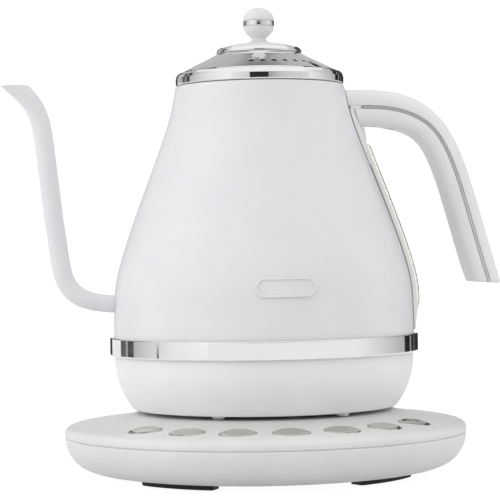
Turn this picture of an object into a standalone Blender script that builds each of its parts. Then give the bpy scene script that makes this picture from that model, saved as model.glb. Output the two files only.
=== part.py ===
# Gooseneck kettle on a temperature-control power base.
# Units: the tables below are in millimetres, the meshes in metres, +Z up.
# Frame: the origin is the centre of the footprint on the table top. The
# vertical axis that the kettle, its lid and the base share stands at AXIS_X.
# The spout points to -X, the handle to +X, the buttons and badge face -Y.
import math

import bmesh
import bpy
from mathutils import Matrix, Vector

# ---------------------------------------------------------------- dimensions
MM = 0.001
AXIS_X = 4.0              # the common axis, measured from the footprint centre
GAP = 0.3                 # clearance between pieces that touch
SEG = 28                  # facets round the large turned pieces
SEG_S = 16                # facets round the small turned pieces

BODY_WALL = 1.0
BODY_BOTTOM_Z = 71.4
BODY_TOP_Z = 227.0
NECK_R = 46.6             # body neck inside the collar
NECK_TOP_Z = 231.2
COLLAR_R = 49.35
COLLAR_TOP_Z = 234.6

BELT_Z = (70.6, 81.3)
BELT_R = 91.0

HOUSING_TOP_Z = 71.0
HOUSING_WALL = 2.2
HOUSING_BOTTOM_Z = 38.7

PLATE_Z = (74.0, 75.2)    # heater plate, the floor of the water chamber

KNOB_R = 9.05            # half width of the knob at its ring
KNOB_RISE = 7.6          # height of the cap above the ring

SPOUT_R = 5.75
SPOUT_BORE_R = 4.9
SPOUT_CUT_Z = 228.2
SPOUT_SIDES = 12

HANDLE_T = 10.5           # half thickness of the grip, in its own plane
HANDLE_W = 12.5           # half width of the grip
HANDLE_WALL = 2.3

RAIL_W = 8.0              # half width of the water window's frame
RAIL_OUT = 2.9            # how far the frame stands off the body
LENS_W = 5.5
LENS_OUT = 4.8

BASE_WALL = 2.2
SEAM_Z = 24.1
PLATEAU_Z = 36.8
BUTTON_R = 97.0
BUTTON_STEP = 17.2        # degrees between buttons
BUTTON_HALF = (10.0, 8.6)
BUTTON_TRAVEL = 0.8

# Kettle body, outer radius against height.
BODY = [(88.3, 70.0), (88.5, 82.0), (88.3, 93.0), (87.3, 110.0),
        (84.2, 124.1), (78.1, 142.8), (69.4, 166.1), (60.4, 189.5),
        (54.0, 208.2), (49.7, 227.0), (48.9, 232.0)]
# Lower housing, outer radius against height.
HOUSING = [(74.5, 37.0), (77.7, 39.2), (81.3, 43.9), (84.9, 51.1),
           (87.3, 58.6), (88.2, 65.2), (88.4, 71.0), (88.4, 76.0)]
# Power base cover, from the seam up and in to the plateau.
COVER = [(117.58, 24.4), (118.68, 25.4), (118.48, 27.4), (116.27, 29.6),
         (111.83, 30.4), (102.77, 31.4), (92.0, 32.9), (84.0, 34.1),
         (79.5, 35.4), (76.5, 36.6), (75.0, PLATEAU_Z)]
# Power base shell, from the seam down and in to the flat bottom.
SHELL = [(117.47, 23.8), (117.68, 21.6), (116.97, 18.2), (114.75, 13.4),
         (110.42, 8.2), (103.27, 4.6), (90.0, 2.6)]
# Spout centre line in the X-Z plane, from the tip down to the body.
SPOUT = [(-147.2, 231.5), (-137.2, 222.4), (-132.5, 216.2), (-129.6, 209.2),
         (-128.1, 202.7), (-126.0, 185.2), (-124.0, 167.0), (-122.2, 150.4),
         (-120.3, 136.4), (-118.6, 123.4), (-116.6, 114.8), (-112.4, 108.4),
         (-106.0, 104.0), (-98.0, 101.9), (-88.4, 100.9)]
# Handle centre line in the X-Z plane, from inside the body to the free end.
HANDLE = [(46.0, 213.8), (60.0, 213.8), (72.0, 213.4), (83.5, 211.3),
          (94.0, 206.6), (102.3, 199.4), (108.5, 189.0), (113.0, 178.0),
          (117.2, 165.0), (121.2, 151.0), (125.0, 137.4), (129.0, 123.4),
          (132.9, 109.5)]


# ------------------------------------------------------------------- helpers
def table_radius(table, z):
    """Radius at height z on a smooth curve through a (radius, height) table."""
    pts = sorted(table, key=lambda p: p[1])
    z = min(max(z, pts[0][1]), pts[-1][1])
    for i in range(len(pts) - 1):
        if z <= pts[i + 1][1]:
            break

    def slope(k):
        a, b = pts[max(k - 1, 0)], pts[min(k + 1, len(pts) - 1)]
        return (b[0] - a[0]) / (b[1] - a[1])

    (r0, z0), (r1, z1) = pts[i], pts[i + 1]
    h = z1 - z0
    t = (z - z0) / h
    return (r0 * (2 * t**3 - 3 * t**2 + 1) + r1 * (3 * t**2 - 2 * t**3)
            + slope(i) * h * (t**3 - 2 * t**2 + t) + slope(i + 1) * h * (t**3 - t**2))


def body_r(z):
    return table_radius(BODY, z)


def housing_r(z):
    return table_radius(HOUSING, z)


def smooth_path(points, steps):
    """Catmull-Rom curve through 2-D points, steps spans between two points."""
    out = []
    n = len(points)
    for i in range(n - 1):
        p = [Vector(points[min(max(k, 0), n - 1)]) for k in (i - 1, i, i + 1, i + 2)]
        if i == 0:
            p[0] = 2 * p[1] - p[2]
        if i == n - 2:
            p[3] = 2 * p[2] - p[1]
        for s in range(steps):
            t = s / steps
            out.append(0.5 * ((2 * p[1]) + (p[2] - p[0]) * t
                              + (2 * p[0] - 5 * p[1] + 4 * p[2] - p[3]) * t * t
                              + (3 * p[1] - p[0] - 3 * p[2] + p[3]) * t**3))
    out.append(Vector(points[-1]))
    return out


def frange(a, b, n):
    return [a + (b - a) * i / n for i in range(n + 1)]


def material(name, color, rough, metal, alpha=1.0):
    m = bpy.data.materials.new(name)
    m.use_nodes = True
    b = m.node_tree.nodes["Principled BSDF"]
    b.inputs["Base Color"].default_value = (*color, 1.0)
    b.inputs["Roughness"].default_value = rough
    b.inputs["Metallic"].default_value = metal
    b.inputs["Alpha"].default_value = alpha
    m.diffuse_color = (*color, alpha)
    return m


def finish(name, bm, mat, parent=None, loc=(0, 0, 0), rot=(0, 0, 0), sharp=35):
    """Turns a bmesh into a named object placed by its location and rotation."""
    bmesh.ops.remove_doubles(bm, verts=bm.verts, dist=1e-7)
    bmesh.ops.recalc_face_normals(bm, faces=bm.faces)
    if bm.calc_volume(signed=True) < 0:
        bmesh.ops.reverse_faces(bm, faces=bm.faces)
    me = bpy.data.meshes.new(name)
    bm.to_mesh(me)
    bm.free()
    if mat is not None:
        me.materials.append(mat)
    me.shade_smooth()
    me.set_sharp_from_angle(angle=math.radians(sharp))
    ob = bpy.data.objects.new(name, me)
    bpy.context.scene.collection.objects.link(ob)
    ob.parent = parent
    ob.location = [c * MM for c in loc]
    ob.rotation_euler = rot
    return ob


def copy_of(ob, name, parent=None, loc=(0, 0, 0), rot=(0, 0, 0)):
    new = bpy.data.objects.new(name, ob.data)
    bpy.context.scene.collection.objects.link(new)
    new.parent = parent
    new.location = [c * MM for c in loc]
    new.rotation_euler = rot
    return new


def turned_bmesh(loop, seg=SEG, bm=None, centre=(0, 0), start=0.0):
    """Spins a (radius, height) outline round the vertical axis. An outline
    whose two ends lie on the axis makes a solid, any other closes on itself."""
    bm = bm or bmesh.new()
    turn = Matrix.Rotation(start, 4, "Z")
    vs = [bm.verts.new(turn @ Vector((r * MM, 0, z * MM))) for r, z in loop]
    n = len(vs)
    on_axis = loop[0][0] == 0 and loop[-1][0] == 0
    es = [bm.edges.new((vs[i], vs[(i + 1) % n])) for i in range(n - 1 if on_axis else n)]
    ret = bmesh.ops.spin(bm, geom=vs + es, cent=(0, 0, 0), axis=(0, 0, 1),
                         angle=2 * math.pi, steps=seg, use_merge=True,
                         use_duplicate=False)
    bmesh.ops.remove_doubles(bm, verts=bm.verts, dist=1e-7)
    if centre != (0, 0):
        bmesh.ops.translate(bm, verts=bm.verts, vec=(centre[0] * MM, centre[1] * MM, 0))
    return bm


def turned(name, loop, mat, parent=None, seg=SEG, loc=(0, 0, 0), rot=(0, 0, 0)):
    return finish(name, turned_bmesh(loop, seg), mat, parent, loc, rot)


def prism_bmesh(outline, z0, z1, bm=None, matrix=None):
    """Extrudes a flat outline (x, y) from z0 to z1."""
    bm = bm or bmesh.new()
    vs = [bm.verts.new((x * MM, y * MM, z0 * MM)) for x, y in outline]
    face = bm.faces.new(vs)
    ext = bmesh.ops.extrude_face_region(bm, geom=[face])
    top = [v for v in ext["geom"] if isinstance(v, bmesh.types.BMVert)]
    bmesh.ops.translate(bm, verts=top, vec=(0, 0, (z1 - z0) * MM))
    if matrix is not None:
        bmesh.ops.transform(bm, matrix=matrix, verts=vs + top)
    return bm


def add_box(bm, low, high):
    prism_bmesh([(low[0], low[1]), (high[0], low[1]), (high[0], high[1]), (low[0], high[1])],
                low[2], high[2], bm)
    return bm


def circle(r, n, cx=0.0, cy=0.0, start=0.0):
    return [(cx + r * math.cos(start + 2 * math.pi * i / n),
             cy + r * math.sin(start + 2 * math.pi * i / n)) for i in range(n)]


def ellipse(a, b, n):
    """A button outline: long axis along X, its ends drawn out a little."""
    pts = []
    for i in range(n):
        t = 2 * math.pi * i / n
        c, s = math.cos(t), math.sin(t)
        pts.append((a * c, b * s * (1 - 0.10 * c * c)))
    return pts


def ring_sweep(rings):
    """Skins closed rings of the same point count and caps the two ends."""
    bm = bmesh.new()
    rows = [[bm.verts.new([c * MM for c in p]) for p in ring] for ring in rings]
    n = len(rows[0])
    for a, b in zip(rows, rows[1:]):
        for k in range(n):
            bm.faces.new((a[k], a[(k + 1) % n], b[(k + 1) % n], b[k]))
    bm.faces.new(rows[0])
    bm.faces.new(list(reversed(rows[-1])))
    return bm


def patch_bmesh(us, vs, back, front, keep=lambda i, j: True):
    """A solid skin over a grid, from a back surface to a front surface.
    Cells that keep() turns down stay open."""
    bm = bmesh.new()
    cells = {(i, j) for i in range(len(us) - 1) for j in range(len(vs) - 1) if keep(i, j)}
    grid = {}

    def vert(i, j, side):
        key = (i, j, side)
        if key not in grid:
            p = (front if side else back)(us[i], vs[j])
            grid[key] = bm.verts.new([c * MM for c in p])
        return grid[key]

    for i, j in cells:
        ring = [(i, j), (i + 1, j), (i + 1, j + 1), (i, j + 1)]
        bm.faces.new([vert(*c, 1) for c in ring])
        bm.faces.new([vert(*c, 0) for c in reversed(ring)])
        for near, a, b in (((i, j - 1), 0, 1), ((i + 1, j), 1, 2),
                           ((i, j + 1), 2, 3), ((i - 1, j), 3, 0)):
            if near not in cells:
                p, q = ring[a], ring[b]
                bm.faces.new([vert(*p, 0), vert(*q, 0), vert(*q, 1), vert(*p, 1)])
    return bm


def boolean(ob, tool, operation="DIFFERENCE"):
    m = ob.modifiers.new(operation.title(), "BOOLEAN")
    m.operation = operation
    m.solver = "EXACT"
    m.object = tool
    tool.hide_render = True
    tool.display_type = "WIRE"


def offset_open(points, d):
    """A polyline moved sideways by d, to the left of its direction."""
    out = []
    n = len(points)
    for i, p in enumerate(points):
        a = Vector(points[max(i - 1, 0)])
        b = Vector(points[min(i + 1, n - 1)])
        t = (b - a).normalized()
        out.append((p[0] - t.y * d, p[1] + t.x * d))
    return out


# -------------------------------------------------------------- clean scene
for ob in list(bpy.data.objects):
    bpy.data.objects.remove(ob, do_unlink=True)

PEARL = material("pearl_white_paint", (0.80, 0.80, 0.83), 0.35, 0.0)
WHITE = material("white_plastic", (0.76, 0.76, 0.74), 0.42, 0.0)
CHROME = material("chrome", (0.78, 0.78, 0.78), 0.08, 1.0)
STEEL = material("stainless_steel", (0.62, 0.61, 0.60), 0.30, 1.0)
BRASS = material("brass", (0.75, 0.56, 0.24), 0.30, 1.0)
RUBBER = material("black_rubber", (0.02, 0.02, 0.02), 0.80, 0.0)
SILICONE = material("silicone", (0.72, 0.72, 0.70), 0.60, 0.0)
CLEAR = material("clear_plastic", (0.86, 0.87, 0.86), 0.10, 0.0, 0.45)
SATIN = material("silver_button", (0.60, 0.58, 0.54), 0.30, 0.8)
DARK = material("dark_plastic", (0.08, 0.08, 0.08), 0.50, 0.0)
BOARD = material("circuit_board", (0.05, 0.22, 0.10), 0.50, 0.0)


def empty(name, parent=None, loc=(0, 0, 0)):
    e = bpy.data.objects.new(name, None)
    bpy.context.scene.collection.objects.link(e)
    e.parent = parent
    e.location = [c * MM for c in loc]
    e.empty_display_size = 0.02
    return e


AXIS = empty("common_axis", None, (AXIS_X, 0, 0))
BASE = empty("power_base_axis", AXIS)
KETTLE = empty("kettle_axis", AXIS)
LID = empty("lid_axis", AXIS)


# =============================================================== power base
# Lower shell: a shallow bowl with a flat floor, screw bosses and a cord hole.
outer = [(r, z) for r, z in [tuple(p) for p in smooth_path(SHELL, 1)]]
inner = [(r, z) for r, z in offset_open(outer, -BASE_WALL)]
inner[0] = (outer[0][0] - BASE_WALL, outer[0][1])
inner[-1] = (89.0, outer[-1][1] + BASE_WALL)
loop = [(0.0, outer[-1][1])] + outer[::-1] + inner + [(0.0, inner[-1][1])]
base_lower_shell = turned("base_lower_shell", loop, WHITE, BASE)

SCREW_R, SCREW_ANGLES = 68.0, [45, 135, 225, 315]
SHELL_FLOOR = SHELL[-1][1]


def polar(r, deg):
    """Position at an angle counted from +X towards +Y."""
    a = math.radians(deg)
    return r * math.cos(a), r * math.sin(a)


bm = bmesh.new()
for a in SCREW_ANGLES:
    prism_bmesh(circle(5.0, 12, *polar(SCREW_R, a)), SHELL_FLOOR + 1.0, 9.4, bm)
bosses = finish("guide_shell_bosses", bm, None, BASE)
boolean(base_lower_shell, bosses, "UNION")
bm = bmesh.new()
for a in SCREW_ANGLES:
    x, y = polar(SCREW_R, a)
    prism_bmesh(circle(3.4, 12, x, y), SHELL_FLOOR - 2.0, 6.2, bm)
cut1 = finish("cutter_shell_counterbores", bm, None, BASE)
boolean(base_lower_shell, cut1)
CORD_Z = 14.5
bm = bmesh.new()
for a in SCREW_ANGLES:
    x, y = polar(SCREW_R, a)
    prism_bmesh(circle(1.9, 10, x, y), 5.0, 12.0, bm)
along_y = Matrix.Translation((0, 0, CORD_Z * MM)) @ Matrix.Rotation(-math.pi / 2, 4, "X")
prism_bmesh(circle(5.0, 16), 98.0, 125.0, bm, along_y)
cut2 = finish("cutter_shell_holes", bm, None, BASE)
boolean(base_lower_shell, cut2)

# Top cover: sloping outer skin up to a flat plateau with a central opening.
outer = [tuple(p) for p in smooth_path(COVER, 1)]
inner = offset_open(outer, BASE_WALL)
inner[0] = (outer[0][0] - BASE_WALL, outer[0][1])
inner[-1] = (74.0, PLATEAU_Z - BASE_WALL)
loop = outer + [(21.5, PLATEAU_Z), (21.5, PLATEAU_Z - BASE_WALL)] + inner[::-1]
base_top_cover = turned("base_top_cover", loop, WHITE, BASE)
bm = bmesh.new()
for a in SCREW_ANGLES:
    prism_bmesh(circle(4.4, 12, *polar(SCREW_R, a)), 9.7, PLATEAU_Z - 1.2, bm)
posts = finish("guide_cover_posts", bm, None, BASE)
boolean(base_top_cover, posts, "UNION")
bm = bmesh.new()
for a in SCREW_ANGLES:
    prism_bmesh(circle(1.7, 10, *polar(SCREW_R, a)), 5.0, 24.0, bm)
BUTTONS = ["button_power", "button_temp_1", "button_temp_2", "button_temp_3",
           "button_temp_4", "button_temp_5", "button_keep_warm"]
button_places = []
for k, name in enumerate(BUTTONS):
    deg = (k - 3) * BUTTON_STEP            # from the front, towards +X
    a = math.radians(deg)
    x, y = BUTTON_R * math.sin(a), -BUTTON_R * math.cos(a)
    button_places.append((name, a, x, y))
    m = Matrix.Translation((x * MM, y * MM, 0)) @ Matrix.Rotation(a, 4, "Z")
    prism_bmesh(ellipse(BUTTON_HALF[0] + 0.35, BUTTON_HALF[1] + 0.35, 16), 24.0, 40.0, bm, m)
cut3 = finish("cutter_cover_holes", bm, None, BASE)
boolean(base_top_cover, cut3)

# Rubber feet: four arc pads under the shell.
FOOT_R = (80.5, 90.0)
FOOT_SPAN = 32.4


def arc_pad(r0, r1, span, n=7):
    pts = []
    for i in range(n + 1):
        a = math.radians(-span / 2 + span * i / n)
        pts.append((r1 * math.cos(a), r1 * math.sin(a)))
    for i in range(n, -1, -1):
        a = math.radians(-span / 2 + span * i / n)
        pts.append((r0 * math.cos(a), r0 * math.sin(a)))
    return pts


foot = finish("base_foot_front_left",
              prism_bmesh(arc_pad(*FOOT_R, FOOT_SPAN), 0.0, SHELL_FLOOR - GAP),
              RUBBER, BASE, rot=(0, 0, math.radians(-90 - 43.3)))
copy_of(foot, "base_foot_front_right", BASE, rot=(0, 0, math.radians(-90 + 43.3)))
copy_of(foot, "base_foot_rear_left", BASE, rot=(0, 0, math.radians(90 + 43.3)))
copy_of(foot, "base_foot_rear_right", BASE, rot=(0, 0, math.radians(90 - 43.3)))

# Screws that hold the cover down on the shell: pan head, shank, cross slot.
screw_loop = [(0.0, 3.6), (3.0, 3.6), (3.0, 5.6), (1.4, 5.9),
              (1.4, 19.4), (0.0, 20.2)]
for k, a in enumerate(SCREW_ANGLES):
    x, y = polar(SCREW_R, a)
    if k == 0:
        screw = turned("base_screw_1", screw_loop, STEEL, BASE, 8, (x, y, 0))
    else:
        copy_of(screw, "base_screw_%d" % (k + 1), BASE, (x, y, 0))

# Cord gland: a flanged bush in the rear wall with an open bore.
gland_loop = [(3.5, 100.5), (5.8, 100.5), (5.8, 102.5), (4.6, 102.5),
              (4.6, 117.2), (3.5, 117.2)]
turned("cord_gland", gland_loop, DARK, BASE, 12, (0, 0, CORD_Z),
       (-math.pi / 2, 0, 0))

# Central connector: the base half of the all-round coupling, with a ring
# groove that the kettle half drops into.
turned("base_connector",
       [(0.0, 31.6), (24.5, 31.6), (24.5, 34.1), (17.0, 34.1), (17.0, 45.8),
        (16.3, 46.5), (13.6, 46.5), (13.6, 38.5), (9.0, 38.5), (9.0, 46.5),
        (3.1, 46.5), (3.1, 40.0), (0.0, 40.0)], DARK, BASE, SEG_S)
turned("base_contact_ring",
       [(3.4, 46.8), (8.7, 46.8), (8.7, 47.3), (3.4, 47.3)], BRASS, BASE, SEG_S)

# Power board with its transformer, relay and capacitor soldered on.
bm = bmesh.new()
add_box(bm, (-34, 40, 12.0), (34, 84, 13.6))
board = finish("base_power_board", bm, BOARD, BASE)
bm = bmesh.new()
add_box(bm, (-28, 46, 13.0), (-6, 66, 27.0))
add_box(bm, (2, 46, 13.0), (20, 60, 25.0))
prism_bmesh(circle(5.0, 12, 26.0, 74.0), 13.0, 24.0, bm)
parts_on_board = finish("guide_board_parts", bm, None, BASE)
boolean(board, parts_on_board, "UNION")
turned("base_buzzer", [(0.0, 13.9), (6.0, 13.9), (6.0, 20.5), (1.2, 20.5),
                       (1.2, 18.5), (0.0, 18.5)], DARK, BASE, 12, (-20, 76, 0))

# Button board: an arc of circuit board with one switch under each button.
BOARD_Z = 21.0
bm = prism_bmesh(arc_pad(89.0, 105.0, 124.0, 18), BOARD_Z, BOARD_Z + 1.4)
switch_board = finish("base_button_board", bm, BOARD, BASE, rot=(0, 0, -math.pi / 2))
bm = bmesh.new()
for name, a, x, y in button_places:
    m = Matrix.Translation((x * MM, y * MM, 0)) @ Matrix.Rotation(a, 4, "Z")
    prism_bmesh([(-3, -3), (3, -3), (3, 3), (-3, 3)], BOARD_Z + 0.7, BOARD_Z + 4.2, bm, m)
switches = finish("guide_switches", bm, None, BASE)
boolean(switch_board, switches, "UNION")

# Seven buttons: a domed oval cap, a retaining flange below the cover, a stem.
COVER_SLOPE = math.atan2(31.4 - 32.9, 102.0 - 92.0)
BUTTON_Z = 32.15


def button_bmesh():
    n = 16
    rings = []
    drop = math.tan(-COVER_SLOPE)      # the cap follows the cover's slope
    for scale_a, scale_b, z in ((10.9, 9.5, -4.6), (10.9, 9.5, -3.6), (10.0, 8.6, -3.4),
                                (10.0, 8.6, 0.1), (8.6, 7.3, 0.8)):
        ring = []
        for x, y in ellipse(scale_a, scale_b, n):
            ring.append((x, y, z + y * drop))
        rings.append(ring)
    bm = ring_sweep(rings)
    return bm


cap = None
for name, a, x, y in button_places:
    if cap is None:
        cap = finish(name, button_bmesh(), SATIN, AXIS, (x, y, BUTTON_Z), (0, 0, a))
        stem = finish("guide_button_stem",
                      prism_bmesh(circle(1.8, 8), -5.6, -4.0), None, AXIS,
                      (x, y, BUTTON_Z), (0, 0, a))
        boolean(cap, stem, "UNION")
    else:
        new = finish(name, button_bmesh(), SATIN, AXIS, (x, y, BUTTON_Z), (0, 0, a))
        stem = finish("guide_stem_" + name, prism_bmesh(circle(1.8, 8), -5.6, -4.0),
                      None, AXIS, (x, y, BUTTON_Z), (0, 0, a))
        boolean(new, stem, "UNION")


# ========================================================= kettle connector
# The kettle's half of the coupling: a hub whose ring blade and centre pin
# drop into the base half, at any angle.
turned("kettle_connector",
       [(0.0, 41.0), (2.5, 41.0), (2.5, 47.9), (9.5, 47.9), (9.5, 39.2),
        (13.0, 39.2), (13.0, 47.2), (17.6, 47.2), (17.6, 39.3), (21.0, 39.3),
        (21.0, 41.4), (24.0, 41.4), (24.0, 43.2), (21.0, 43.2), (21.0, 56.5),
        (0.0, 56.5)], DARK, KETTLE, SEG_S)


# ================================================================== kettle
# Steel vessel, painted outside: turned wall, neck for the collar.
outer = [(body_r(z), z) for z in (BODY_BOTTOM_Z, 90, 104, 116, 128, 141, 157,
                                  173, 190, 206, 217, 226.4)]
inner = [(body_r(z) - BODY_WALL, z) for z in (226.0, 206, 183, 160, 141, 124,
                                             106, BODY_BOTTOM_Z)]
loop = outer + [(49.0, BODY_TOP_Z), (NECK_R, 227.2), (NECK_R, NECK_TOP_Z),
                (NECK_R - BODY_WALL, NECK_TOP_Z),
                (NECK_R - BODY_WALL, 226.6)] + inner
kettle_body = turned("kettle_body", loop, PEARL, KETTLE)
WINDOW_Z = (97.0, 189.0)
bm = bmesh.new()
prism_bmesh(circle(4.6, 16), 70.0, 100.0, bm,
            Matrix.Translation((0, 0, 100.9 * MM)) @ Matrix.Rotation(-math.pi / 2, 4, "Y"))
add_box(bm, (40.0, -3.6, WINDOW_Z[0]), (98.0, 3.6, WINDOW_Z[1]))
body_cut = finish("cutter_body_openings", bm, None, KETTLE)
boolean(kettle_body, body_cut)

# Collar round the mouth: an outer band and the shelf that the lid rests on.
turned("mouth_collar",
       [(46.9, 227.6), (COLLAR_R, 227.6), (COLLAR_R, 231.0), (49.0, 232.6),
        (48.3, 233.9), (47.6, COLLAR_TOP_Z), (47.25, 234.2), (47.25, 232.5),
        (44.9, 232.5), (44.9, 231.5), (46.9, 231.5)], CHROME, KETTLE)

# Belt: the rounded chrome band over the joint of vessel and housing.
z0, z1 = BELT_Z
turned("belt_ring",
       [(88.85, z0), (90.2, z0), (90.8, z0 + 1.4), (BELT_R, z0 + 4.0),
        (BELT_R, z1 - 4.0), (90.8, z1 - 1.4), (90.2, z1), (88.85, z1)],
       CHROME, KETTLE)

# Lower housing: rounded skirt with an inner ledge for the bottom cover.
zs = (HOUSING_TOP_Z, 65.0, 58.5, 51.0, 45.5, 41.5, 39.3)
outer = [(housing_r(z), z) for z in zs]
inner = [(housing_r(z) - HOUSING_WALL, z) for z in (45.5, 51.0, 58.5, 65.0, HOUSING_TOP_Z)]
loop = (outer[::-1] + inner[::-1][:1] + inner[::-1][1:]
        + [(76.5, 43.8), (67.0, 43.8), (67.0, 41.4), (74.6, 41.2), (74.6, HOUSING_BOTTOM_Z),
           (76.8, HOUSING_BOTTOM_Z)])
lower_housing = turned("lower_housing", loop, WHITE, KETTLE)

# Bottom cover with the central opening and the moulded feet.
bottom_cover = turned("kettle_bottom_cover",
                      [(21.5, 38.9), (74.2, 38.9), (74.2, 40.9), (21.5, 40.9)],
                      WHITE, KETTLE)
FEET = [-120, -60, 60, 120]
bm = bmesh.new()
for a in FEET:
    prism_bmesh(circle(3.4, 12, *polar(70.0, a)), PLATEAU_Z + GAP, 39.6, bm)
feet = finish("guide_kettle_feet", bm, None, KETTLE)
boolean(bottom_cover, feet, "UNION")
H_SCREWS = [0, 120, 240]
bm = bmesh.new()
for a in H_SCREWS:
    x, y = polar(70.5, a)
    prism_bmesh(circle(3.1, 12, x, y), 37.5, 40.2, bm)
cut4 = finish("cutter_cover_counterbores", bm, None, KETTLE)
boolean(bottom_cover, cut4)
bm = bmesh.new()
for a in H_SCREWS:
    prism_bmesh(circle(1.7, 10, *polar(70.5, a)), 39.8, 45.0, bm)
cut5 = finish("cutter_housing_screws", bm, None, KETTLE)
boolean(bottom_cover, cut5)
boolean(lower_housing, cut5)
h_loop = [(0.0, 38.95), (2.7, 38.95), (2.7, 39.9), (1.4, 39.95),
          (1.4, 47.0), (0.0, 47.8)]
for k, a in enumerate(H_SCREWS):
    x, y = polar(70.5, a)
    if k == 0:
        screw = turned("housing_screw_1", h_loop, STEEL, KETTLE, 8, (x, y, 0))
    else:
        copy_of(screw, "housing_screw_%d" % (k + 1), KETTLE, (x, y, 0))

# Heater plate, its seal, the tubular element and the controls below it.
heater_plate = turned("heater_plate",
                      [(0.0, PLATE_Z[0]), (86.9, PLATE_Z[0]), (86.9, PLATE_Z[1]),
                       (64.0, PLATE_Z[1]), (62.0, PLATE_Z[1] + 0.8),
                       (54.0, PLATE_Z[1] + 0.8), (52.0, PLATE_Z[1]), (0.0, PLATE_Z[1])],
                      STEEL, KETTLE)
turned("bottom_seal", [(82.0, 72.0), (86.6, 72.0), (86.6, PLATE_Z[0] - GAP),
                       (82.0, PLATE_Z[0] - GAP)], SILICONE, KETTLE)
rings = []
n = 24
for i in range(n + 1):
    a = math.radians(12 + (348 - 12) * i / n)
    ring = []
    for k in range(6):
        b = 2 * math.pi * k / 6
        r = 58.0 + 3.9 * math.cos(b)
        ring.append((r * math.cos(a), r * math.sin(a), 69.6 + 3.9 * math.sin(b)))
    rings.append(ring)
finish("heating_element", ring_sweep(rings), STEEL, KETTLE, rot=(0, 0, math.radians(90)))
PROBE = (-20.0, 22.0)
probe_cut = finish("cutter_probe_hole",
                   prism_bmesh(circle(3.0, 10, *PROBE), 70.0, 80.0), None, KETTLE)
boolean(heater_plate, probe_cut)
turned("temperature_probe",
       [(0.0, 62.0), (2.0, 62.0), (2.0, 68.0), (4.6, 68.0), (4.6, PLATE_Z[0] - GAP),
        (2.6, PLATE_Z[0] - GAP), (2.6, 86.0), (1.6, 87.6), (0.0, 88.0)],
       STEEL, KETTLE, 10, (*PROBE, 0))
bm = bmesh.new()
add_box(bm, (-14, -26, 64.0), (14, -8, PLATE_Z[0] - GAP))
finish("thermal_cutout", bm, DARK, KETTLE)

# Spout: one bent tube with an open bore, cut level at the tip.
centre = smooth_path(SPOUT, 1)
rings_o, rings_i = [], []
for i, p in enumerate(centre):
    a, b = centre[max(i - 1, 0)], centre[min(i + 1, len(centre) - 1)]
    t = (b - a).normalized()
    if i == len(centre) - 1:
        t = Vector((1.0, 0.0))
    nrm = Vector((-t.y, t.x))
    for rings, r in ((rings_o, SPOUT_R), (rings_i, SPOUT_BORE_R)):
        if p.x > -112.4:
            r -= 0.35 * min(1.0, (p.x + 112.4) / 12.0)
        ring = []
        for k in range(SPOUT_SIDES):
            w = 2 * math.pi * k / SPOUT_SIDES
            off = nrm * (r * math.cos(w))
            ring.append(Vector((p.x + off.x, r * math.sin(w), p.y + off.y)))
        rings.append(ring)
# the level cut: everything above it slides back along the tube's direction
first = 1
tip_dir = (centre[1] - centre[2]).normalized()
while min(v.z for v in rings_o[first]) < SPOUT_CUT_Z - 9.0 and first > 0:
    first -= 1
for rings in (rings_o, rings_i):
    keep_from = next(i for i, ring in enumerate(rings) if max(v.z for v in ring) < SPOUT_CUT_Z - 0.4)
    d = (centre[keep_from - 1] - centre[keep_from]).normalized()
    cut = []
    for v in rings[keep_from]:
        s = (SPOUT_CUT_Z - v.z) / d.y
        cut.append(Vector((v.x + d.x * s, v.y, SPOUT_CUT_Z)))
    rings[:keep_from] = [cut]
n_common = min(len(rings_o), len(rings_i))
rings_o, rings_i = [rings_o[0]] + rings_o[-(n_common - 1):], [rings_i[0]] + rings_i[-(n_common - 1):]
bm = bmesh.new()
ro = [[bm.verts.new(v * MM) for v in ring] for ring in rings_o]
ri = [[bm.verts.new(v * MM) for v in ring] for ring in rings_i]
for rows in (ro, ri):
    for a, b in zip(rows, rows[1:]):
        for k in range(SPOUT_SIDES):
            bm.faces.new((a[k], a[(k + 1) % SPOUT_SIDES], b[(k + 1) % SPOUT_SIDES], b[k]))
for o, i_ in ((ro[0], ri[0]), (ro[-1], ri[-1])):
    for k in range(SPOUT_SIDES):
        bm.faces.new((o[k], o[(k + 1) % SPOUT_SIDES], i_[(k + 1) % SPOUT_SIDES], i_[k]))
spout = finish("spout", bm, PEARL, KETTLE, sharp=50)

# Badge: a raised pill-shaped plate on the front of the vessel, left plain.
BADGE_Z, BADGE_HALF = 110.2, (17.0, 5.4)


def badge_point(lift):
    def f(u, v):
        # u runs along the pill, v across it; both are trimmed to the outline
        half_v = BADGE_HALF[1]
        if abs(u) > BADGE_HALF[0] - half_v:
            e = abs(u) - (BADGE_HALF[0] - half_v)
            half_v = math.sqrt(max(half_v**2 - e * e, 1.2))
        z = BADGE_Z + v * half_v
        r = body_r(z) + lift
        x = max(min(u, BADGE_HALF[0]), -BADGE_HALF[0])
        return (x, -math.sqrt(r * r - x * x), z)
    return f


us = [-17.0, -16.4, -15.0, -13.2, -11.4, -6, 0, 6, 11.4, 13.2, 15.0, 16.4, 17.0]
finish("badge_plate", patch_bmesh(us, frange(-1, 1, 4), badge_point(GAP), badge_point(1.3)),
       WHITE, KETTLE, sharp=40)

# Water window on the handle side: gasket, frame and clear lens, all curved
# with the vessel.


def rail_point(lift):
    def f(y, z):
        r = body_r(z) + (lift(z) if callable(lift) else lift)
        return (math.sqrt(r * r - y * y), y, z)
    return f


def frame_lift(z):
    """The frame stands off evenly and runs down into the belt."""
    t = min(max((z - 82.0) / 18.0, 0.0), 1.0)
    return 1.9 + (RAIL_OUT - 1.9) * math.sin(t * math.pi / 2)


def lens_lift(z):
    t = min(max((z - 90.0) / 12.0, 0.0), 1.0)
    return 2.6 + (LENS_OUT - 2.6) * math.sin(t * math.pi / 2)


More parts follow.
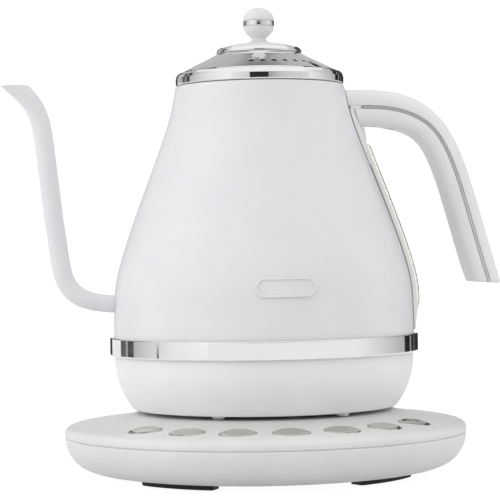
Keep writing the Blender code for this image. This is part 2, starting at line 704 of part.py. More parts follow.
slot = LENS_W + GAP
frame_ys = [-RAIL_W, -slot, 0, slot, RAIL_W]
frame_zs = [82.0, 89.6] + frange(96, 184, 10) + [192.8, 202.0, 212.6]


def open_slot(i, j):
    return not (1 <= i <= 2 and 1 <= j <= len(frame_zs) - 4)


finish("window_gasket",
       patch_bmesh(frame_ys, frame_zs, rail_point(GAP), rail_point(1.0), open_slot),
       SILICONE, KETTLE)
finish("window_frame",
       patch_bmesh(frame_ys, frame_zs, rail_point(1.3), rail_point(frame_lift), open_slot),
       WHITE, KETTLE)
lens_zs = [90.0] + frange(96, 184, 10) + [192.4]
finish("water_window",
       patch_bmesh([-LENS_W, -3.0, 0, 3.0, LENS_W], lens_zs, rail_point(GAP),
                   rail_point(lens_lift)), CLEAR, KETTLE)

# Handle: two channel-shaped shells that meet on the centre line, with a
# bright strip let into the joint on each side.
h_path = smooth_path(HANDLE, 1)
h_frames = []
for i, p in enumerate(h_path):
    a, b = h_path[max(i - 1, 0)], h_path[min(i + 1, len(h_path) - 1)]
    t = (b - a).normalized()
    if i == len(h_path) - 1:
        t = Vector((0.05, -1.0)).normalized()   # the free end is cut nearly level
        nrm = Vector((1.0, -0.075)) * 1.03
    else:
        nrm = Vector((-t.y, t.x))
    h_frames.append((p, nrm))


def handle_half(side, t):
    """Section points (thickness, width) of one shell; side is +1 or -1."""
    pts = []
    rebate = 1.35
    lo, hi = 0.15, 1.45
    w = HANDLE_W
    cr, wall = 6.5, HANDLE_WALL
    arc = [math.radians(d) for d in (0, 30, 60, 90)]
    pts += [(lo, w - rebate), (hi, w - rebate), (hi, w)]
    pts += [(t - cr + cr * math.sin(a), w - cr + cr * math.cos(a)) for a in arc]
    pts += [(t - cr + cr * math.sin(a), -(w - cr + cr * math.cos(a))) for a in arc[::-1]]
    pts += [(hi, -w), (hi, -(w - rebate)), (lo, -(w - rebate))]
    ir = cr - wall
    pts += [(lo, -(w - wall - 0.4))]
    pts += [(t - cr + ir * math.sin(a), -(w - cr + (ir - 0.4) * math.cos(a))) for a in arc[::3]]
    pts += [(t - cr + ir * math.sin(a), w - cr + (ir - 0.4) * math.cos(a)) for a in arc[::-3]]
    pts += [(lo, w - wall - 0.4)]
    return [(side * a, b) for a, b in pts]


def handle_t(x):
    """Half thickness along the handle: full at the root, slimmer below."""
    u = min(max((x - 78.0) / 32.0, 0.0), 1.0)
    return HANDLE_T - 1.9 * u * u * (3 - 2 * u)


def handle_shell(side):
    rings = []
    for p, nrm in h_frames:
        section = handle_half(side, handle_t(p.x) + (0.3 if side > 0 else 0.0))
        rings.append([(p.x + nrm.x * t, y, p.y + nrm.y * t) for t, y in section])
    return ring_sweep(rings)


def handle_sweep(section, frames):
    rings = []
    for p, nrm in frames:
        rings.append([(p.x + nrm.x * t, y, p.y + nrm.y * t) for t, y in section])
    return ring_sweep(rings)


outer_shell = finish("handle_outer_shell", handle_shell(1),
                     WHITE, KETTLE, sharp=50)
inner_shell = finish("handle_inner_shell", handle_shell(-1),
                     WHITE, KETTLE, sharp=50)
# end plug and the tail that laps over the top of the window, both moulded
# with the inner shell
plug_section = [(-7.5, -5.4), (-7.5, 5.4), (-4.0, 10.6), (-1.6, 10.6), (-1.6, 9.4),
                (1.5, 9.2), (5.3, 5.2), (5.3, -5.2), (1.5, -9.2), (-1.6, -9.4),
                (-1.6, -10.6), (-4.0, -10.6)]
p_end, n_end = h_frames[-1]
d_end = Vector((-0.07, 1.0)) * 2.4
plug = finish("guide_end_plug",
              handle_sweep(plug_section, [(p_end + d_end, n_end),
                                          (p_end + d_end * 0.12, n_end)]), None, KETTLE)
tail = finish("guide_window_tail",
              patch_bmesh([-6.0, -3.0, 0, 3.0, 6.0], [193.2, 197.0, 201.0, 205.0],
                          rail_point(RAIL_OUT + 0.9), rail_point(RAIL_OUT + 2.7)), None, KETTLE)
boolean(inner_shell, plug, "UNION")
body_tool = turned("cutter_handle_root",
                   [(0.0, 190.0)] + [(body_r(z) + 0.45, z) for z in frange(190, 228, 8)]
                   + [(0.0, 228.0)], None, KETTLE, 64)
rail_tool = turned("cutter_handle_rail",
                   [(0.0, 190.0)] + [(body_r(z) + RAIL_OUT + 0.75, z)
                                     for z in frange(190, 213.9, 6)]
                   + [(0.0, 213.9)], None, KETTLE, 64)
boolean(outer_shell, body_tool)
boolean(inner_shell, rail_tool)
boolean(inner_shell, tail, "UNION")

strip_path = h_frames[:]
strip_rings = []
root = Vector((57.5, 213.85))
strip_frames = [(root, Vector((0.0, 1.0)))] + [f for f in h_frames if f[0].x > 58.0]
for sign, name in ((-1, "handle_trim_front"), (1, "handle_trim_rear")):
    sec = [(-1.15, sign * (HANDLE_W - 1.05)), (-1.15, sign * (HANDLE_W + 0.1)),
           (1.15, sign * (HANDLE_W + 0.1)), (1.15, sign * (HANDLE_W - 1.05))]
    finish(name, handle_sweep(sec, strip_frames), CHROME, KETTLE)

# Bracket inside the handle's root, and the two screws up through it.
bracket_outline = [(53.4, 214.4), (55.0, 214.4), (55.0, 216.0), (82.0, 216.0),
                   (82.0, 217.6), (55.0, 217.6), (55.0, 220.6), (53.4, 220.6)]
bm = prism_bmesh(bracket_outline, -5.5, 5.5, None,
                 Matrix.Rotation(math.pi / 2, 4, "X"))
bracket = finish("handle_bracket", bm, STEEL, KETTLE)
H_X = (65.5, 77.0)
bm = bmesh.new()
for x in H_X:
    prism_bmesh(circle(1.8, 10, x, 0), 200.0, 222.0, bm)
cut6 = finish("cutter_handle_screws", bm, None, KETTLE)
boolean(bracket, cut6)
boolean(inner_shell, cut6)
bm = bmesh.new()
for x in H_X:
    prism_bmesh(circle(3.2, 12, x, 0), 198.0, 204.4, bm)
cut7 = finish("cutter_handle_heads", bm, None, KETTLE)
boolean(inner_shell, cut7)
hs_loop = [(0.0, 203.2), (2.8, 203.2), (2.8, 204.1), (1.4, 204.25),
           (1.4, 218.6), (0.0, 219.4)]
screw = turned("handle_screw_1", hs_loop, STEEL, KETTLE, 8, (H_X[0], 0, 0))
copy_of(screw, "handle_screw_2", KETTLE, (H_X[1], 0, 0))


# ===================================================================== lid
CONE = [(46.9, 232.9), (46.9, 234.3), (44.6, 235.9), (38.1, 239.2), (31.0, 242.7),
        (26.2, 245.1), (24.9, 246.0)]
loop = ([(46.1, 232.9)] + CONE
        + [(5.1, 246.0), (5.1, 245.2), (24.6, 245.2), (25.8, 244.3), (37.7, 238.3),
           (44.2, 235.0), (46.1, 233.8)])
lid_cone = turned("lid_cone", loop, CHROME, LID)
HOLE_R, HOLE_STEP, HOLE_START, HOLES = 37.8, 10.0, -15.2, 16
bm = bmesh.new()
tilt = math.atan2(26.2 - 38.1, 239.2 - 245.1) + math.pi
for k in range(HOLES):
    a = math.radians(HOLE_START + HOLE_STEP * k)
    m = (Matrix.Rotation(a, 4, "Z") @ Matrix.Translation((0, -HOLE_R * MM, 239.2 * MM))
         @ Matrix.Rotation(math.radians(26.5), 4, "X"))
    prism_bmesh(circle(1.25, 6), -3.0, 3.0, bm, m)
steam = finish("cutter_steam_holes", bm, None, LID)
boolean(lid_cone, steam)

turned("lid_rim", [(22.95, 246.3), (24.9, 246.3), (24.75, 247.6), (24.4, 248.8),
                   (23.6, 249.3), (22.95, 249.3)], CHROME, LID, 20)
# Knob: flange, neck and lower half of the ball in one piece, with a boss
# that goes down through the cone.
ball = [(5.35, 256.5), (6.9, 257.8), (8.0, 259.2), (8.7, 260.6), (9.05, 262.2)]
knob_low = ([(0.0, 232.0), (1.7, 232.0), (1.7, 226.2), (4.7, 226.2), (4.7, 246.3),
             (22.6, 246.3), (22.6, 249.3), (18.4, 250.9), (11.0, 252.1), (5.9, 253.3),
             (4.6, 254.4), (4.5, 255.4)] + ball
            + [(3.0, ball[-1][1]), (3.0, 260.0), (0.0, 260.0)])
turned("knob_lower", knob_low, WHITE, LID, SEG_S)
z0 = ball[-1][1] + 0.3
z1 = 265.5
turned("knob_ring", [(3.1, z0), (9.2, z0), (9.2, z1), (3.1, z1)], CHROME, LID, SEG_S)
top = [(KNOB_R * math.cos(t), z1 + 0.3 + KNOB_RISE * math.sin(t))
       for t in [math.radians(d) for d in (0, 20, 40, 58, 75)]]
turned("knob_top", [(0.0, 260.3), (2.7, 260.3), (2.7, top[0][1])] + top
       + [(0.0, z1 + 0.3 + KNOB_RISE)], WHITE, LID, SEG_S)
# Pan under the cone, the seal round it and the screw that clamps the knob.
turned("lid_pan",
       [(2.1, 224.9), (41.0, 224.9), (42.3, 226.0), (42.3, 232.9), (45.4, 232.9),
        (45.4, 233.5), (41.5, 233.5), (41.5, 226.4), (40.6, 225.7), (2.1, 225.7)],
       STEEL, LID, 28)
turned("lid_gasket",
       [(42.95, 226.6), (44.1, 226.6), (44.6, 227.6), (43.7, 228.6), (44.6, 229.9),
        (43.7, 231.0), (43.7, 232.0), (42.95, 232.0)], SILICONE, LID, 28)
turned("lid_screw",
       [(0.0, 223.0), (3.2, 223.0), (3.4, 223.5), (3.2, 224.5), (1.4, 224.6),
        (1.4, 230.8), (0.8, 231.5), (0.0, 231.5)], STEEL, LID, 8)
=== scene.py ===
# Gooseneck kettle on its power base: the looks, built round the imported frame.
# Meshes are made in millimetres about the axis that base, kettle and lid
# share, which stands at AXIS_X in the frame. +Z up, spout to -X, buttons -Y.
import math

import bmesh
import bpy
import numpy as np
from mathutils import Matrix, Quaternion, Vector


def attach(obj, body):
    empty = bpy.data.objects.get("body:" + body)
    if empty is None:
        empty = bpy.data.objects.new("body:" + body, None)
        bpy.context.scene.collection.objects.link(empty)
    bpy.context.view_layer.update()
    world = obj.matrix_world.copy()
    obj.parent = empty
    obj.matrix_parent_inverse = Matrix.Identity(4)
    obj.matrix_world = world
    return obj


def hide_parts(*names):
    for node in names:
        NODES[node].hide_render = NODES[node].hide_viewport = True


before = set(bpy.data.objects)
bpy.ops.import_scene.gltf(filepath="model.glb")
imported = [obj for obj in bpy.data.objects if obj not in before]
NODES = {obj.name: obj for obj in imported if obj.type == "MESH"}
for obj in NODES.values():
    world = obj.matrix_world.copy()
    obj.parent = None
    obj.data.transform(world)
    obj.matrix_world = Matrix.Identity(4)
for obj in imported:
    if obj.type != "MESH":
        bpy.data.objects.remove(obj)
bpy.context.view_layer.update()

MM = 0.001
AXIS_X = 4.0

# ------------------------------------------------------------ shape tables
BODY = [(87.7, 70.0), (87.9, 82.0), (87.7, 93.0), (86.7, 110.0),
        (83.6, 124.1), (77.5, 142.8), (68.9, 166.1), (60.0, 189.5),
        (53.6, 208.2), (49.5, 227.0), (48.8, 232.0)]
HOUSING = [(73.7, 37.0), (76.9, 39.2), (80.5, 43.9), (84.1, 51.1),
           (86.5, 58.6), (87.4, 65.2), (87.6, 71.0), (87.6, 76.0)]
COVER = [(117.58, 24.4), (118.68, 25.4), (118.48, 27.4), (116.27, 29.6),
         (111.83, 30.4), (102.77, 31.4), (92.0, 32.9), (84.0, 34.1),
         (79.5, 35.4), (76.5, 36.6), (75.0, 36.8)]
SHELL = [(117.47, 23.8), (117.68, 21.6), (116.97, 18.2), (114.75, 13.4),
         (110.42, 8.2), (103.27, 4.6), (90.0, 2.6)]
SPOUT = [(-147.2, 231.5), (-137.2, 222.4), (-132.5, 216.2), (-129.6, 209.2),
         (-128.1, 202.7), (-126.0, 185.2), (-124.0, 167.0), (-122.2, 150.4),
         (-120.3, 136.4), (-118.6, 123.4), (-116.6, 114.8), (-112.4, 108.4),
         (-106.0, 104.0), (-98.0, 101.9), (-88.4, 100.9)]
HANDLE = [(46.0, 213.8), (60.0, 213.8), (72.0, 213.4), (83.5, 211.3),
          (94.0, 206.6), (102.3, 199.4), (108.5, 189.0), (113.0, 178.0),
          (117.2, 165.0), (121.2, 151.0), (125.0, 137.4), (129.0, 123.4),
          (132.9, 109.5)]
BUTTONS = ["button_power", "button_temp_1", "button_temp_2", "button_temp_3",
           "button_temp_4", "button_temp_5", "button_keep_warm"]
SCREW_ANGLES = [45, 135, 225, 315]


# ------------------------------------------------------------ mesh helpers
def table_radius(table, z):
    """Radius at height z on a smooth curve through a (radius, height) table."""
    pts = sorted(table, key=lambda p: p[1])
    z = min(max(z, pts[0][1]), pts[-1][1])
    for i in range(len(pts) - 1):
        if z <= pts[i + 1][1]:
            break

    def slope(k):
        a, b = pts[max(k - 1, 0)], pts[min(k + 1, len(pts) - 1)]
        return (b[0] - a[0]) / (b[1] - a[1])

    (r0, z0), (r1, z1) = pts[i], pts[i + 1]
    h = z1 - z0
    t = (z - z0) / h
    return (r0 * (2 * t**3 - 3 * t**2 + 1) + r1 * (3 * t**2 - 2 * t**3)
            + slope(i) * h * (t**3 - 2 * t**2 + t) + slope(i + 1) * h * (t**3 - t**2))


def body_r(z):
    return table_radius(BODY, z)


def housing_r(z):
    return table_radius(HOUSING, z)


def smooth_path(points, steps):
    """Centripetal-style smooth curve through 2-D points."""
    out = []
    n = len(points)
    for i in range(n - 1):
        p = [Vector(points[min(max(k, 0), n - 1)]) for k in (i - 1, i, i + 1, i + 2)]
        if i == 0:
            p[0] = 2 * p[1] - p[2]
        if i == n - 2:
            p[3] = 2 * p[2] - p[1]
        for s in range(steps):
            t = s / steps
            out.append(0.5 * ((2 * p[1]) + (p[2] - p[0]) * t
                              + (2 * p[0] - 5 * p[1] + 4 * p[2] - p[3]) * t * t
                              + (3 * p[1] - p[0] - 3 * p[2] + p[3]) * t**3))
    out.append(Vector(points[-1]))
    return out


def even_path(points, step, passes=2):
    """The smooth curve again, with points a fixed distance apart, and its
    curvature evened out so that a highlight runs along it without bumps."""
    fine = smooth_path(points, 24)
    for _ in range(passes):
        lens = [0.0]
        for a, b in zip(fine, fine[1:]):
            lens.append(lens[-1] + (b - a).length)
        n = max(2, int(round(lens[-1] / step)))
        xs = np.interp(np.linspace(0, lens[-1], n + 1), lens, [p[0] for p in fine])
        ys = np.interp(np.linspace(0, lens[-1], n + 1), lens, [p[1] for p in fine])
        for _ in range(12):
            xs[1:-1] = 0.5 * xs[1:-1] + 0.25 * (xs[:-2] + xs[2:])
            ys[1:-1] = 0.5 * ys[1:-1] + 0.25 * (ys[:-2] + ys[2:])
        fine = [Vector((x, y)) for x, y in zip(xs, ys)]
    return fine


def spread(a, b, n):
    return [a + (b - a) * i / n for i in range(n + 1)]


def soften(loop, closed=True, steps=4, support=True):
    """Rounds the corners of an outline. A point (r, z, f) gets a fillet of
    radius f, with a support point each side so that flats stay flat."""
    n = len(loop)
    out = []
    for i, p in enumerate(loop):
        f = p[2] if len(p) > 2 else 0.0
        if f <= 0 or (not closed and i in (0, n - 1)):
            out.append((p[0], p[1]))
            continue
        c = Vector(p[:2])
        a, b = Vector(loop[i - 1][:2]) - c, Vector(loop[(i + 1) % n][:2]) - c
        la, lb = a.length, b.length
        a.normalize()
        b.normalize()
        half = a.angle(b) / 2
        if half > math.radians(88):
            out.append((p[0], p[1]))
            continue
        cut = min(f / math.tan(half), 0.42 * la, 0.42 * lb)
        f = cut * math.tan(half)
        mid = c + (a + b).normalized() * (f / math.sin(half))
        for share in (1.5, 1.12):
            if support and cut * share < 0.49 * la:
                q = c + a * cut * share
                out.append((q.x, q.y))
        s, e = c + a * cut - mid, c + b * cut - mid
        turn = s.angle_signed(e)
        for k in range(steps + 1):
            t = -turn * k / steps
            q = mid + Vector((s.x * math.cos(t) - s.y * math.sin(t),
                              s.x * math.sin(t) + s.y * math.cos(t)))
            out.append((q.x, q.y))
        for share in (1.12, 1.5):
            if support and cut * share < 0.49 * lb:
                q = c + b * cut * share
                out.append((q.x, q.y))
    return out


def offset_line(points, d):
    out = []
    n = len(points)
    for i, p in enumerate(points):
        a = Vector(points[max(i - 1, 0)][:2])
        b = Vector(points[min(i + 1, n - 1)][:2])
        t = (b - a).normalized()
        out.append((p[0] - t.y * d, p[1] + t.x * d))
    return out


def bm_turned(loop, seg=192, bm=None, tags=None):
    """Turns a closed (radius, height) outline round the axis. tags gives the
    material index of the face that starts at each outline point."""
    bm = bm or bmesh.new()
    rows = []
    for r, z in loop:
        if r < 1e-6:
            rows.append([bm.verts.new((0, 0, z * MM))])
        else:
            rows.append([bm.verts.new((r * MM * math.cos(2 * math.pi * k / seg),
                                       r * MM * math.sin(2 * math.pi * k / seg), z * MM))
                         for k in range(seg)])
    n = len(loop)
    for i in range(n):
        a, b = rows[i], rows[(i + 1) % n]
        if len(a) == 1 and len(b) == 1:
            continue
        for k in range(seg):
            k2 = (k + 1) % seg
            if len(a) == 1:
                f = bm.faces.new((a[0], b[k2], b[k]))
            elif len(b) == 1:
                f = bm.faces.new((a[k], a[k2], b[0]))
            else:
                f = bm.faces.new((a[k], a[k2], b[k2], b[k]))
            if tags:
                f.material_index = tags[i]
    return bm


def bm_rings(rings, bm=None, cap=True, tags=None, closed=False):
    """Skins closed rings of one point count; caps the ends, or joins them."""
    bm = bm or bmesh.new()
    rows = [[bm.verts.new([c * MM for c in p]) for p in ring] for ring in rings]
    n = len(rows[0])
    pairs = list(zip(rows, rows[1:])) + ([(rows[-1], rows[0])] if closed else [])
    for a, b in pairs:
        for k in range(n):
            f = bm.faces.new((a[k], a[(k + 1) % n], b[(k + 1) % n], b[k]))
            if tags:
                f.material_index = tags[k]
    if cap and not closed:
        bm.faces.new(rows[0])
        bm.faces.new(list(reversed(rows[-1])))
    return bm


def bm_prism(outline, z0, z1, bm=None, matrix=None, flare=0.0):
    """Extrudes a flat outline from z0 to z1; flare widens the top."""
    bm = bm or bmesh.new()
    m = matrix or Matrix.Identity(4)
    cx = sum(p[0] for p in outline) / len(outline)
    cy = sum(p[1] for p in outline) / len(outline)

    def row(z, grow):
        got = []
        for x, y in outline:
            d = Vector((x - cx, y - cy))
            d = d.normalized() * grow if d.length > 1e-9 else d
            got.append(bm.verts.new(m @ Vector(((x + d.x) * MM, (y + d.y) * MM, z * MM))))
        return got

    a, b = row(z0, 0.0), row(z1, flare)
    n = len(a)
    for k in range(n):
        bm.faces.new((a[k], a[(k + 1) % n], b[(k + 1) % n], b[k]))
    bm.faces.new(list(reversed(a)))
    bm.faces.new(b)
    return bm


def bm_stack(steps, n, bm=None, matrix=None, inner=0):
    """A stack of circles (radius, height) as one closed skin. Its lowest
    bands take the second material."""
    bm = bm or bmesh.new()
    m = matrix or Matrix.Identity(4)
    rows = [[bm.verts.new(m @ Vector((r * MM * math.cos(2 * math.pi * k / n),
                                      r * MM * math.sin(2 * math.pi * k / n), z * MM)))
             for k in range(n)] for r, z in steps]
    for i, (a, b) in enumerate(zip(rows, rows[1:])):
        for k in range(n):
            f = bm.faces.new((a[k], a[(k + 1) % n], b[(k + 1) % n], b[k]))
            f.material_index = 1 if i < inner else 0
    bm.faces.new(rows[0][::-1]).material_index = 1 if inner else 0
    bm.faces.new(rows[-1])
    return bm


def circle(r, n, cx=0.0, cy=0.0):
    return [(cx + r * math.cos(2 * math.pi * i / n),
             cy + r * math.sin(2 * math.pi * i / n)) for i in range(n)]


def polar(r, deg):
    a = math.radians(deg)
    return r * math.cos(a), r * math.sin(a)


def make(name, bm, mats, sharp=32, recalc=True):
    """A mesh object on the common axis, outward faces, smooth where round."""
    bmesh.ops.remove_doubles(bm, verts=bm.verts, dist=1e-8)
    if recalc:
        bmesh.ops.recalc_face_normals(bm, faces=bm.faces)
        if bm.calc_volume(signed=True) < 0:
            bmesh.ops.reverse_faces(bm, faces=bm.faces)
    me = bpy.data.meshes.new(name)
    bm.to_mesh(me)
    bm.free()
    for m in (mats if isinstance(mats, (list, tuple)) else [mats]):
        me.materials.append(m)
    me.shade_smooth()
    me.set_sharp_from_angle(angle=math.radians(sharp))
    ob = bpy.data.objects.new(name, me)
    bpy.context.scene.collection.objects.link(ob)
    ob.location = (AXIS_X * MM, 0, 0)
    return ob


def combine(ob, tools, operation="DIFFERENCE", sharp=32):
    """Applies exact Booleans and keeps only the finished mesh."""
    for tool in tools:
        m = ob.modifiers.new("cut", "BOOLEAN")
        m.operation = operation
        m.solver = "EXACT"
        m.object = tool
    dg = bpy.context.evaluated_depsgraph_get()
    me = bpy.data.meshes.new_from_object(ob.evaluated_get(dg))
    old = ob.data
    ob.modifiers.clear()
    ob.data = me
    bpy.data.meshes.remove(old)
    me.name = ob.name
    for tool in tools:
        data = tool.data
        bpy.data.objects.remove(tool, do_unlink=True)
        bpy.data.meshes.remove(data)
    me.shade_smooth()
    me.set_sharp_from_angle(angle=math.radians(sharp))
    return ob


def bevelled(ob, width, segments=3, angle=35):
    m = ob.modifiers.new("edge", "BEVEL")
    m.width = width * MM
    m.segments = segments
    m.limit_method = "ANGLE"
    m.angle_limit = math.radians(angle)
    m.harden_normals = True
    return ob


def place(ob, body, slot, *nodes):
    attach(ob, body)
    if nodes:
        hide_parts(*nodes)
    return ob


# --------------------------------------------------------------- materials
class Mat:
    """A small builder for node materials in object space, in metres."""

    def __init__(self, name, color, rough, metal=0.0, **sockets):
        self.m = bpy.data.materials.new(name)
        self.m.use_nodes = True
        self.t = self.m.node_tree
        self.b = self.t.nodes["Principled BSDF"]
        self.b.inputs["Base Color"].default_value = (*color, 1.0)
        self.b.inputs["Roughness"].default_value = rough
        self.b.inputs["Metallic"].default_value = metal
        for k, v in sockets.items():
            self.b.inputs[k.replace("_", " ")].default_value = v
        self.m.diffuse_color = (*color, 1.0)
        self.co = self.t.nodes.new("ShaderNodeTexCoord").outputs["Object"]
        self.height = None

    def new(self, kind, **props):
        n = self.t.nodes.new(kind)
        for k, v in props.items():
            setattr(n, k, v)
        return n

    def link(self, a, b):
        self.t.links.new(a, b)

    def scaled(self, scale):
        """Object coordinates stretched per axis."""
        n = self.new("ShaderNodeMapping")
        n.inputs["Scale"].default_value = scale
        self.link(self.co, n.inputs["Vector"])
        return n.outputs["Vector"]

    def noise(self, scale, detail=3.0, rough=0.5, co=None):
        n = self.new("ShaderNodeTexNoise")
        n.inputs["Scale"].default_value = scale
        n.inputs["Detail"].default_value = detail
        n.inputs["Roughness"].default_value = rough
        self.link(co or self.co, n.inputs["Vector"])
        return n.outputs["Fac"]

    def voronoi(self, scale, feature="F1", co=None):
        n = self.new("ShaderNodeTexVoronoi", feature=feature)
        n.inputs["Scale"].default_value = scale
        self.link(co or self.co, n.inputs["Vector"])
        return n

    def ramp(self, fac, low, high, a=0.0, b=1.0):
        """Maps fac from low..high to a..b, smoothly."""
        n = self.new("ShaderNodeMapRange", interpolation_type="SMOOTHSTEP")
        n.inputs["From Min"].default_value = low
        n.inputs["From Max"].default_value = high
        n.inputs["To Min"].default_value = a
        n.inputs["To Max"].default_value = b
        self.link(fac, n.inputs["Value"])
        return n.outputs["Result"]

    def mix(self, fac, a, b):
        n = self.new("ShaderNodeMix", data_type="RGBA")
        if hasattr(fac, "default_value"):
            self.link(fac, n.inputs[0])
        else:
            n.inputs[0].default_value = fac
        for sock, v in ((n.inputs[6], a), (n.inputs[7], b)):
            if hasattr(v, "default_value"):
                self.link(v, sock)
            else:
                sock.default_value = (*v, 1.0)
        return n.outputs[2]

    def math(self, op, a, b=None, clamp=False):
        n = self.new("ShaderNodeMath", operation=op, use_clamp=clamp)
        for sock, v in zip(n.inputs, (a, b)):
            if v is None:
                continue
            if hasattr(v, "default_value"):
                self.link(v, sock)
            else:
                sock.default_value = v
        return n.outputs[0]

    def color(self, out):
        self.link(out, self.b.inputs["Base Color"])
        return self

    def rough(self, out):
        self.link(out, self.b.inputs["Roughness"])
        return self

    def bump(self, fac, strength, distance_mm):
        n = self.new("ShaderNodeBump")
        n.inputs["Strength"].default_value = strength
        n.inputs["Distance"].default_value = distance_mm * MM
        self.link(fac, n.inputs["Height"])
        if self.height is not None:
            self.link(self.height, n.inputs["Normal"])
        self.height = n.outputs["Normal"]
        self.link(self.height, self.b.inputs["Normal"])
        return self

    def edges(self):
        """1 on sharp outer edges, 0 elsewhere."""
        n = self.new("ShaderNodeNewGeometry")
        return self.ramp(n.outputs["Pointiness"], 0.515, 0.56)

    def done(self):
        return self.m


def pearl_paint():
    """Pearl white baked paint: fine mica flakes under a clear coat, with the
    faint unevenness of a sprayed film."""
    m = Mat("pearl_white_paint", (0.72, 0.72, 0.75), 0.38, 0.0,
            Coat_Weight=0.06, Coat_Roughness=0.20, Coat_IOR=1.35, Specular_IOR_Level=0.22)
    cloud = m.noise(38.0, 3.0, 0.55)
    flakes = m.voronoi(3600.0)
    flake = m.ramp(flakes.outputs["Color"], 0.35, 0.95)
    warm = m.mix(m.ramp(cloud, 0.35, 0.65), (0.728, 0.728, 0.752), (0.748, 0.748, 0.768))
    base = m.mix(m.math("MULTIPLY", flake, 0.22), warm, (0.80, 0.80, 0.83))
    m.color(base)
    m.rough(m.ramp(m.noise(900.0, 2.0), 0.2, 0.8, 0.34, 0.44))
    m.bump(m.noise(240.0, 2.0, 0.4), 0.10, 0.05)
    m.bump(m.noise(2600.0, 2.0, 0.6), 0.10, 0.012)
    return m.done()


def white_plastic(name="white_plastic", color=(0.715, 0.72, 0.705), grain=1.0):
    """Satin moulded plastic with a fine spark-eroded grain."""
    m = Mat(name, color, 0.42, 0.0, Specular_IOR_Level=0.42,
            Subsurface_Weight=0.06, Subsurface_Radius=(0.004, 0.004, 0.0035),
            Subsurface_Scale=0.5)
    cloud = m.noise(30.0, 4.0, 0.6)
    lighter = tuple(min(c * 1.028, 1.0) for c in color)
    darker = tuple(c * 0.982 for c in color)
    m.color(m.mix(m.ramp(cloud, 0.3, 0.7), darker, lighter))
    m.rough(m.math("SUBTRACT", m.ramp(m.noise(420.0, 4.0, 0.7), 0.25, 0.75, 0.37, 0.48),
                   m.math("MULTIPLY", m.edges(), 0.10)))
    m.bump(m.noise(1900.0, 3.0, 0.65), 0.16 * grain, 0.03)
    m.bump(m.noise(90.0, 2.0, 0.4), 0.08, 0.05)
    return m.done()


def chrome(name="chrome", color=(0.868, 0.864, 0.862), rough=(0.035, 0.085)):
    """Polished plating with faint wiping marks and hairlines."""
    m = Mat(name, color, rough[0], 1.0)
    smear = m.noise(60.0, 5.0, 0.6, m.scaled((1.0, 1.0, 3.0)))
    hair = m.noise(900.0, 4.0, 0.7, m.scaled((0.10, 0.10, 3.0)))
    mixed = m.math("ADD", m.math("MULTIPLY", smear, 0.65), m.math("MULTIPLY", hair, 0.35))
    m.rough(m.ramp(mixed, 0.35, 0.7, rough[0], rough[1]))
    m.color(m.mix(m.ramp(smear, 0.3, 0.75), color, tuple(c * 0.965 for c in color)))
    m.bump(m.noise(55.0, 2.0, 0.3), 0.05, 0.05)
    m.bump(hair, 0.02, 0.01)
    return m.done()


def brushed_steel(name="stainless_steel", radial=True, color=(0.66, 0.65, 0.64)):
    """Stainless steel finished on a lathe: rings of fine lines."""
    m = Mat(name, color, 0.28, 1.0, Anisotropic=0.5)
    if radial:
        sep = m.new("ShaderNodeSeparateXYZ")
        m.link(m.co, sep.inputs[0])
        r = m.math("SQRT", m.math("ADD", m.math("POWER", sep.outputs[0], 2.0),
                                  m.math("POWER", sep.outputs[1], 2.0)))
        com = m.new("ShaderNodeCombineXYZ")
        m.link(r, com.inputs[0])
        m.link(sep.outputs[2], com.inputs[2])
        lines = m.noise(2200.0, 3.0, 0.6, com.outputs[0])
    else:
        lines = m.noise(1600.0, 3.0, 0.6, m.scaled((0.04, 1.0, 1.0)))
    stain = m.noise(28.0, 4.0, 0.6)
    m.color(m.mix(m.ramp(lines, 0.3, 0.7), tuple(c * 0.93 for c in color),
                  tuple(min(1, c * 1.06) for c in color)))
    m.rough(m.ramp(m.math("ADD", m.math("MULTIPLY", lines, 0.6),
                          m.math("MULTIPLY", stain, 0.4)), 0.3, 0.7, 0.20, 0.38))
    m.bump(lines, 0.12, 0.015)
    return m.done()


def rubber(name, color, rough=0.7):
    m = Mat(name, color, rough, 0.0, Specular_IOR_Level=0.3)
    dust = m.ramp(m.noise(260.0, 4.0, 0.7), 0.52, 0.78)
    m.color(m.mix(m.math("MULTIPLY", dust, 0.35), color, tuple(min(1, c * 1.6 + 0.03) for c in color)))
    m.rough(m.math("SUBTRACT", m.ramp(m.noise(700.0, 3.0), 0.3, 0.7, rough - 0.1, rough + 0.1),
                   m.math("MULTIPLY", m.edges(), 0.12)))
    m.bump(m.noise(1500.0, 3.0, 0.7), 0.25, 0.04)
    return m.done()


def clear_lens():
    m = Mat("clear_window", (0.97, 0.955, 0.915), 0.08, 0.0, Transmission_Weight=0.86,
            IOR=1.47)
    m.rough(m.ramp(m.noise(300.0, 4.0, 0.6), 0.3, 0.7, 0.10, 0.24))
    m.color(m.mix(m.ramp(m.noise(60.0, 3.0), 0.3, 0.7), (0.975, 0.965, 0.93), (0.955, 0.935, 0.885)))
    m.bump(m.noise(140.0, 2.0), 0.06, 0.05)
    return m.done()


def button_metal():
    """Metallised plastic with a satin lacquer, and a painted highlight on its sharp rims."""
    m = Mat("silver_button", (0.60, 0.585, 0.55), 0.20, 0.92, Coat_Weight=0.25,
            Coat_Roughness=0.12)
    grain = m.noise(1500.0, 3.0, 0.6)
    cloud = m.noise(160.0, 3.0)
    face = m.mix(m.ramp(cloud, 0.3, 0.7), (0.575, 0.56, 0.525), (0.64, 0.625, 0.59))
    # painted highlight: the sharp rims are mixed towards a lighter silver
    m.color(m.mix(m.math("MULTIPLY", m.edges(), 0.6), face, (0.74, 0.73, 0.70)))
    m.rough(m.ramp(grain, 0.3, 0.7, 0.14, 0.24))
    m.bump(grain, 0.08, 0.012)
    return m.done()


